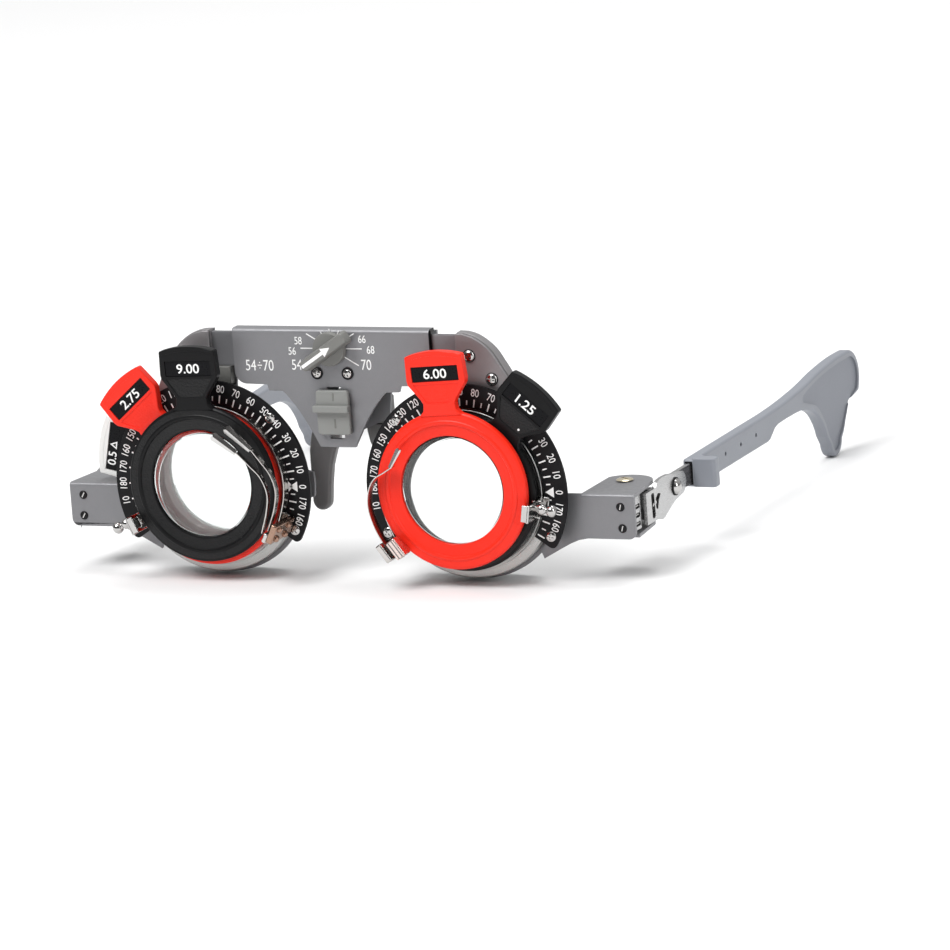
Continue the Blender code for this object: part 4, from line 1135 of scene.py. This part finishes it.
def power_marks(name, x, depth, up, power):
    """The lens power in white on the label; a prism lens has a small triangle after it."""
    face = depth + RIM_FRONT + 0.2
    parts = []
    if name == "lens_r_rear":
        parts.append(lettering(power, 2.2, x - 3.0, up + 29.55, face, narrow=0.95, bold=0.012))
        outer = [(-0.6, 28.6), (1.4, 28.6), (0.4, 30.5)]
        inner = [(-0.1, 28.9), (0.9, 28.9), (0.4, 29.85)]
        triangle = prism([shifted(loop, x, up) for loop in (outer, inner)], face - PRINT, face + PRINT)
        parts.append(painted(triangle, "white_ink"))
    else:
        parts.append(lettering(power, 2.3, x, up + 28.05, face, narrow=1.12, bold=0.012))
    if name == "lens_l_middle":
        dot = prism(circle((x + 2.2, up + 22.1), 0.28, 12), face - 0.04 - PRINT, face)
        parts.append(painted(dot, "white_ink"))
    return parts


def make_glass(x, depth, up):
    """A meniscus with ground edges, seated in the rim."""
    front = [(r, -0.85 + 0.85 * (r / 12.85) ** 2) for r in (0.0, 2.0, 4.0, 6.0, 8.0, 10.0, 11.5, 12.7)]
    back = [(r, 0.55 + 0.25 * (r / 12.85) ** 2) for r in (12.7, 11.0, 8.0, 5.0, 2.5, 0.0)]
    return [painted(turned(front + back, (x, depth, up), 96), "lens_glass")]


def build_lens(name, spec):
    side, depth, angle, offset, colour, power = spec
    x, up = side * EYE_X + offset[0], EYE_HEIGHT + offset[1]
    parts = rim_tab(x, depth, up, colour) + power_marks(name, x, depth, up, power)
    for part in parts:
        turn_about(part, angle - 90, (x, 0, up))
    rim = [rim_ring(x, depth, up, colour)]
    put(name + "_holder", rim + parts, name, [name + "_rim"], 30)
    put(name + "_disc", make_glass(x, depth, up), name, [name + "_glass"], 40)


# Temple ----------------------------------------------------------------------------------------------

def side_prism(loops, inner, outer, side, bevel=0.0, segments=3, angle=40.0):
    low, high = sorted((side * inner, side * outer))
    return prism(loops, low, high, "side", bevel, segments, angle)


def make_knuckle(side):
    x = side * HINGE_X
    barrel = rod(2.7, (x, HINGE_DEPTH, -43.9), (x, HINGE_DEPTH, -35.6), 40, 0.2)
    web = side_block(side, (66.5, 72.4), (HINGE_DEPTH - 1.5, HINGE_DEPTH + 1.5), (-43.4, -36.1), 0.2)
    return [painted(barrel, "steel"), painted(web, "steel")]


def make_plate(side):
    """The temple plate with its cross-shaped cut-out and the tongue folded out of it."""
    outline = [(10.0, -35.9), (16.2, -35.9), (16.9, -34.9), (18.6, -34.4), (21.0, -34.3), (24.5, -34.5),
               (28.0, -35.1)]
    outline += arc((32.6, RIVET[1]), 2.7, 80, -80, 14)
    outline += [(28.0, -41.6), (25.0, -42.5), (21.0, -44.0), (19.4, -44.2), (17.4, -43.7), (16.2, -43.5),
                (10.0, -43.5)]
    upright = rounded([(13.0, -36.7), (14.9, -36.7), (15.2, -42.7), (13.3, -42.7)], 0.6, 3)
    across = [(15.7, -38.4), (17.2, -37.4), (19.0, -37.8), (17.6, -39.2), (16.8, -41.2), (15.7, -40.6)]
    plate = side_prism([outline, upright, rounded(across, 0.3, 2)], 72.7, 73.6, side, 0.12, 2)
    tongue = rounded([(14.4, -39.3), (16.6, -38.9), (16.8, -39.7), (14.4, -40.1)], 0.2, 2)
    tongue = side_prism(tongue, 72.9, 73.4, side, 0.1, 2)
    # A dark sheet behind the cut-outs: painted shade seen through them.
    cutout_shade = side_prism([(12.8, -36.4), (19.3, -36.4), (19.3, -43.1), (12.8, -43.1)], 72.45, 72.65, side)
    return [painted(plate, "steel"), painted(tongue, "chrome"), painted(cutout_shade, "dark")]


def make_rivet(side):
    """A domed head over a dark ring: painted shade round the head's rim."""
    profile = [(0.0, -75.1), (0.7, -75.02), (1.3, -74.75), (1.7, -74.35), (1.9, -73.9), (1.0, -73.9),
               (1.0, -70.6), (0.0, -70.6)]
    # The dark ring is painted shade round the head's rim.
    ring = [(1.85, -73.6), (2.2, -73.6), (2.2, -73.85), (1.85, -73.95)]
    parts = []
    for shape, finish in ((profile, "chrome"), (ring[::-1], "dark")):
        if side < 0:
            shape = [(radius, -along) for radius, along in reversed(shape)]
        parts.append(painted(turned(shape, (0, RIVET[0], RIVET[1]), 40, "x"), finish))
    return parts


def make_bar(side):
    outline = arc(RIVET, 2.5, 90, 270, 16) + [(84.0, RIVET[1] - 2.5), (84.0, RIVET[1] + 2.5)]
    bar = painted(side_prism(outline, 71.1, 72.4, side, 0.2, 2), "dark_steel")
    # Painted highlights: the faces looking up and down get a lighter steel than the dark sides.
    return [paint_faces(bar, "steel", lambda c, n: abs(n.z) > 0.6)]


def sleeve_outline():
    top = smooth_points([(42.0, -34.9), (70.0, -34.8), (96.0, -34.6), (115.0, -33.5), (128.0, -31.9),
                         (140.0, -31.0), (149.6, -31.0)])
    rear = arc((149.6, -38.4), 7.4, 90, -35, 16)
    hook = [(149.0, -43.6), (147.2, -45.4), (145.5, -47.6), (143.6, -50.6)]
    hook += arc(HOOK_END, 4.4, -10, -170, 14)
    under = smooth_points([(131.0, -49.4), (129.0, -46.0), (124.5, -41.9), (117.0, -39.3), (107.0, -38.8),
                           (98.5, -38.9)])
    return top + rear[1:] + hook + under + [(96.0, -39.4), (92.5, -41.4), (91.0, -41.7), (42.0, -41.7)]


def recess_outline():
    """The paddle's sunk face, set in from its rim."""
    top = smooth_points([(116.2, -35.4), (121.0, -34.4), (130.0, -33.2), (141.0, -32.6), (149.5, -32.6)])
    rear = arc((149.6, -38.4), 5.8, 88, -35, 12)
    hook = [(147.4, -44.6), (143.6, -49.0)] + arc(HOOK_END, 2.9, -10, -170, 10)
    under = smooth_points([(132.6, -49.2), (130.4, -45.4), (125.6, -40.4), (118.4, -37.9)])
    return top + rear + hook + under + [(116.0, -37.2), (115.4, -36.3)]


def make_sleeve(side):
    """The plastic sleeve: a slim body, a thumb tab at its front and a dished ear tip."""
    body = side_prism(sleeve_outline(), 70.2, SLEEVE_OUTER, side, 0.7, 4, 35)
    floor = SLEEVE_OUTER - SLEEVE_SUNK
    recess = side_prism(recess_outline(), floor, 75.0, side)
    holes = [rod(0.55, (side * 72.9, depth, -38.0), (side * 74, depth, -38.0), 20) for depth in SLEEVE_HOLES]
    body = painted(cut(body, recess, *holes), "temple_grey")
    # The sunk face of the ear tip gets the darker grey: painted shade.
    paint_faces(body, "temple_recess_shade",
                lambda c, n: abs(c.x - side * floor) < 0.02 and c.y > 110 and side * n.x > 0.9)
    # Dark discs in the holes: painted shade at their bottoms.
    hole_shades = [painted(rod(0.5, (side * 72.8, depth, -38.0), (side * 73.0, depth, -38.0), 16), "dark")
            for depth in SLEEVE_HOLES]
    tab = [(42.0, 72.4), (42.0, 78.4), (45.4, 78.4), (45.4, 74.4), (47.0, 73.2), (47.0, 72.4)]
    tab = [(side * x, depth) for depth, x in rounded(tab, 0.9, 4)]
    tab = painted(prism(tab, -41.7, -34.7, "top", 0.6, 3, 35), "temple_grey")
    # A dark sheet at the sleeve's open front: painted shade in its mouth.
    mouth_shade = painted(side_block(side, (70.8, 72.7), (41.9, 42.1), (-41.1, -35.5)), "dark")
    return [body, tab, mouth_shade] + hole_shades


def build_temple(key, side):
    put("temple_knuckle_" + key, make_knuckle(side), "temple_" + key, ["hinge_knuckle_" + key])
    put("temple_bracket_" + key, make_plate(side), "temple_" + key, ["temple_plate_" + key], 30)
    put("tilt_rivet_" + key, make_rivet(side), "temple_" + key, ["temple_rivet_" + key], 60)
    put("side_bar_" + key, make_bar(side), "bar_" + key, ["temple_bar_" + key], 30)
    put("side_sleeve_" + key, make_sleeve(side), "sleeve_" + key, ["temple_sleeve_" + key], 35)


# Stage -----------------------------------------------------------------------------------------------

def make_camera():
    """Camera at the viewing angle, with its small roll."""
    az, el, roll = (math.radians(a) for a in (AZIMUTH, ELEVATION, ROLL))
    back = Vector((math.sin(az) * math.cos(el), -math.cos(az) * math.cos(el), math.sin(el)))
    right = Vector((math.cos(az), math.sin(az), 0.0))
    up = back.cross(right)
    across = right * math.cos(roll) + up * math.sin(roll)
    upward = -right * math.sin(roll) + up * math.cos(roll)
    place = (back * DISTANCE + across * ASIDE + upward * DOWN - ORIGIN) * MM
    data = bpy.data.cameras.new("camera")
    data.lens = LENS_MM
    data.sensor_width = 36.0
    data.clip_start, data.clip_end = 0.05, 50.0
    camera = linked(data, "camera")
    turn = Matrix((across, upward, back)).transposed()
    camera.matrix_world = Matrix.Translation(place) @ turn.to_4x4()
    bpy.context.scene.camera = camera


def area_light(name, place, target, size, power):
    data = bpy.data.lights.new(name, "AREA")
    data.shape = "RECTANGLE"
    data.size, data.size_y = size
    data.energy = power
    light = linked(data, name)
    light.location = place
    light.rotation_euler = (Vector(target) - Vector(place)).to_track_quat("-Z", "Y").to_euler()


def make_stage():
    floor_mesh = bpy.data.meshes.new("floor")
    bm = bmesh.new()
    bmesh.ops.create_grid(bm, x_segments=1, y_segments=1, size=6.0)
    bm.to_mesh(floor_mesh)
    bm.free()
    floor = linked(floor_mesh, "floor")
    floor.location.z = cad_low.z - 0.0002
    pale = (0.86, 0.86, 0.86)
    material, tree, shader, where = node_material("floor", pale, 0.7)
    two_tone(tree, shader, noise_of(tree, where, 8.0), pale, 0.01)
    floor_mesh.materials.append(material)
    bpy.context.scene.world = make_sky()
    centre = (0.0, 0.03, -0.02)
    area_light("key", (-0.45, -0.85, 1.05), centre, (0.8, 0.6), 9.0)
    area_light("side", (1.2, -0.35, 0.5), centre, (0.35, 0.9), 5.0)
    area_light("top", (0.1, 0.45, 1.3), centre, (1.0, 0.5), 7.0)
    sun = bpy.data.lights.new("sun", "SUN")
    sun.energy = 1.5
    sun.angle = math.radians(35)
    linked(sun, "sun").rotation_euler = (math.radians(28), math.radians(-14), 0)
    bpy.context.scene.view_settings.view_transform = "Standard"


def make_sky():
    """Studio surroundings: bright overhead and behind the frame, dim in front of it."""
    world = bpy.data.worlds.new("studio")
    world.use_nodes = True
    tree = world.node_tree
    background = tree.nodes["Background"]
    direction = tree.nodes.new("ShaderNodeTexCoord").outputs["Generated"]
    weigh = tree.nodes.new("ShaderNodeVectorMath")
    weigh.operation = "DOT_PRODUCT"
    weigh.inputs[1].default_value = (0.0, 0.55, 0.83)
    tree.links.new(direction, weigh.inputs[0])
    ramp = tree.nodes.new("ShaderNodeValToRGB")
    dim, bright = ramp.color_ramp.elements
    dim.position, dim.color = 0.0, (0.16, 0.16, 0.165, 1.0)
    bright.position, bright.color = 0.75, (1.0, 1.0, 1.0, 1.0)
    tree.links.new(weigh.outputs["Value"], ramp.inputs["Fac"])
    tree.links.new(ramp.outputs["Color"], background.inputs["Color"])
    background.inputs["Strength"].default_value = 0.6
    return world


build_bridge()
for eye_key, eye_side in SIDES.items():
    build_carrier(eye_key, eye_side)
    build_rotor(eye_key, eye_side)
    build_temple(eye_key, eye_side)
for lens_name, lens_spec in LENSES.items():
    build_lens(lens_name, lens_spec)
make_camera()
make_stage()
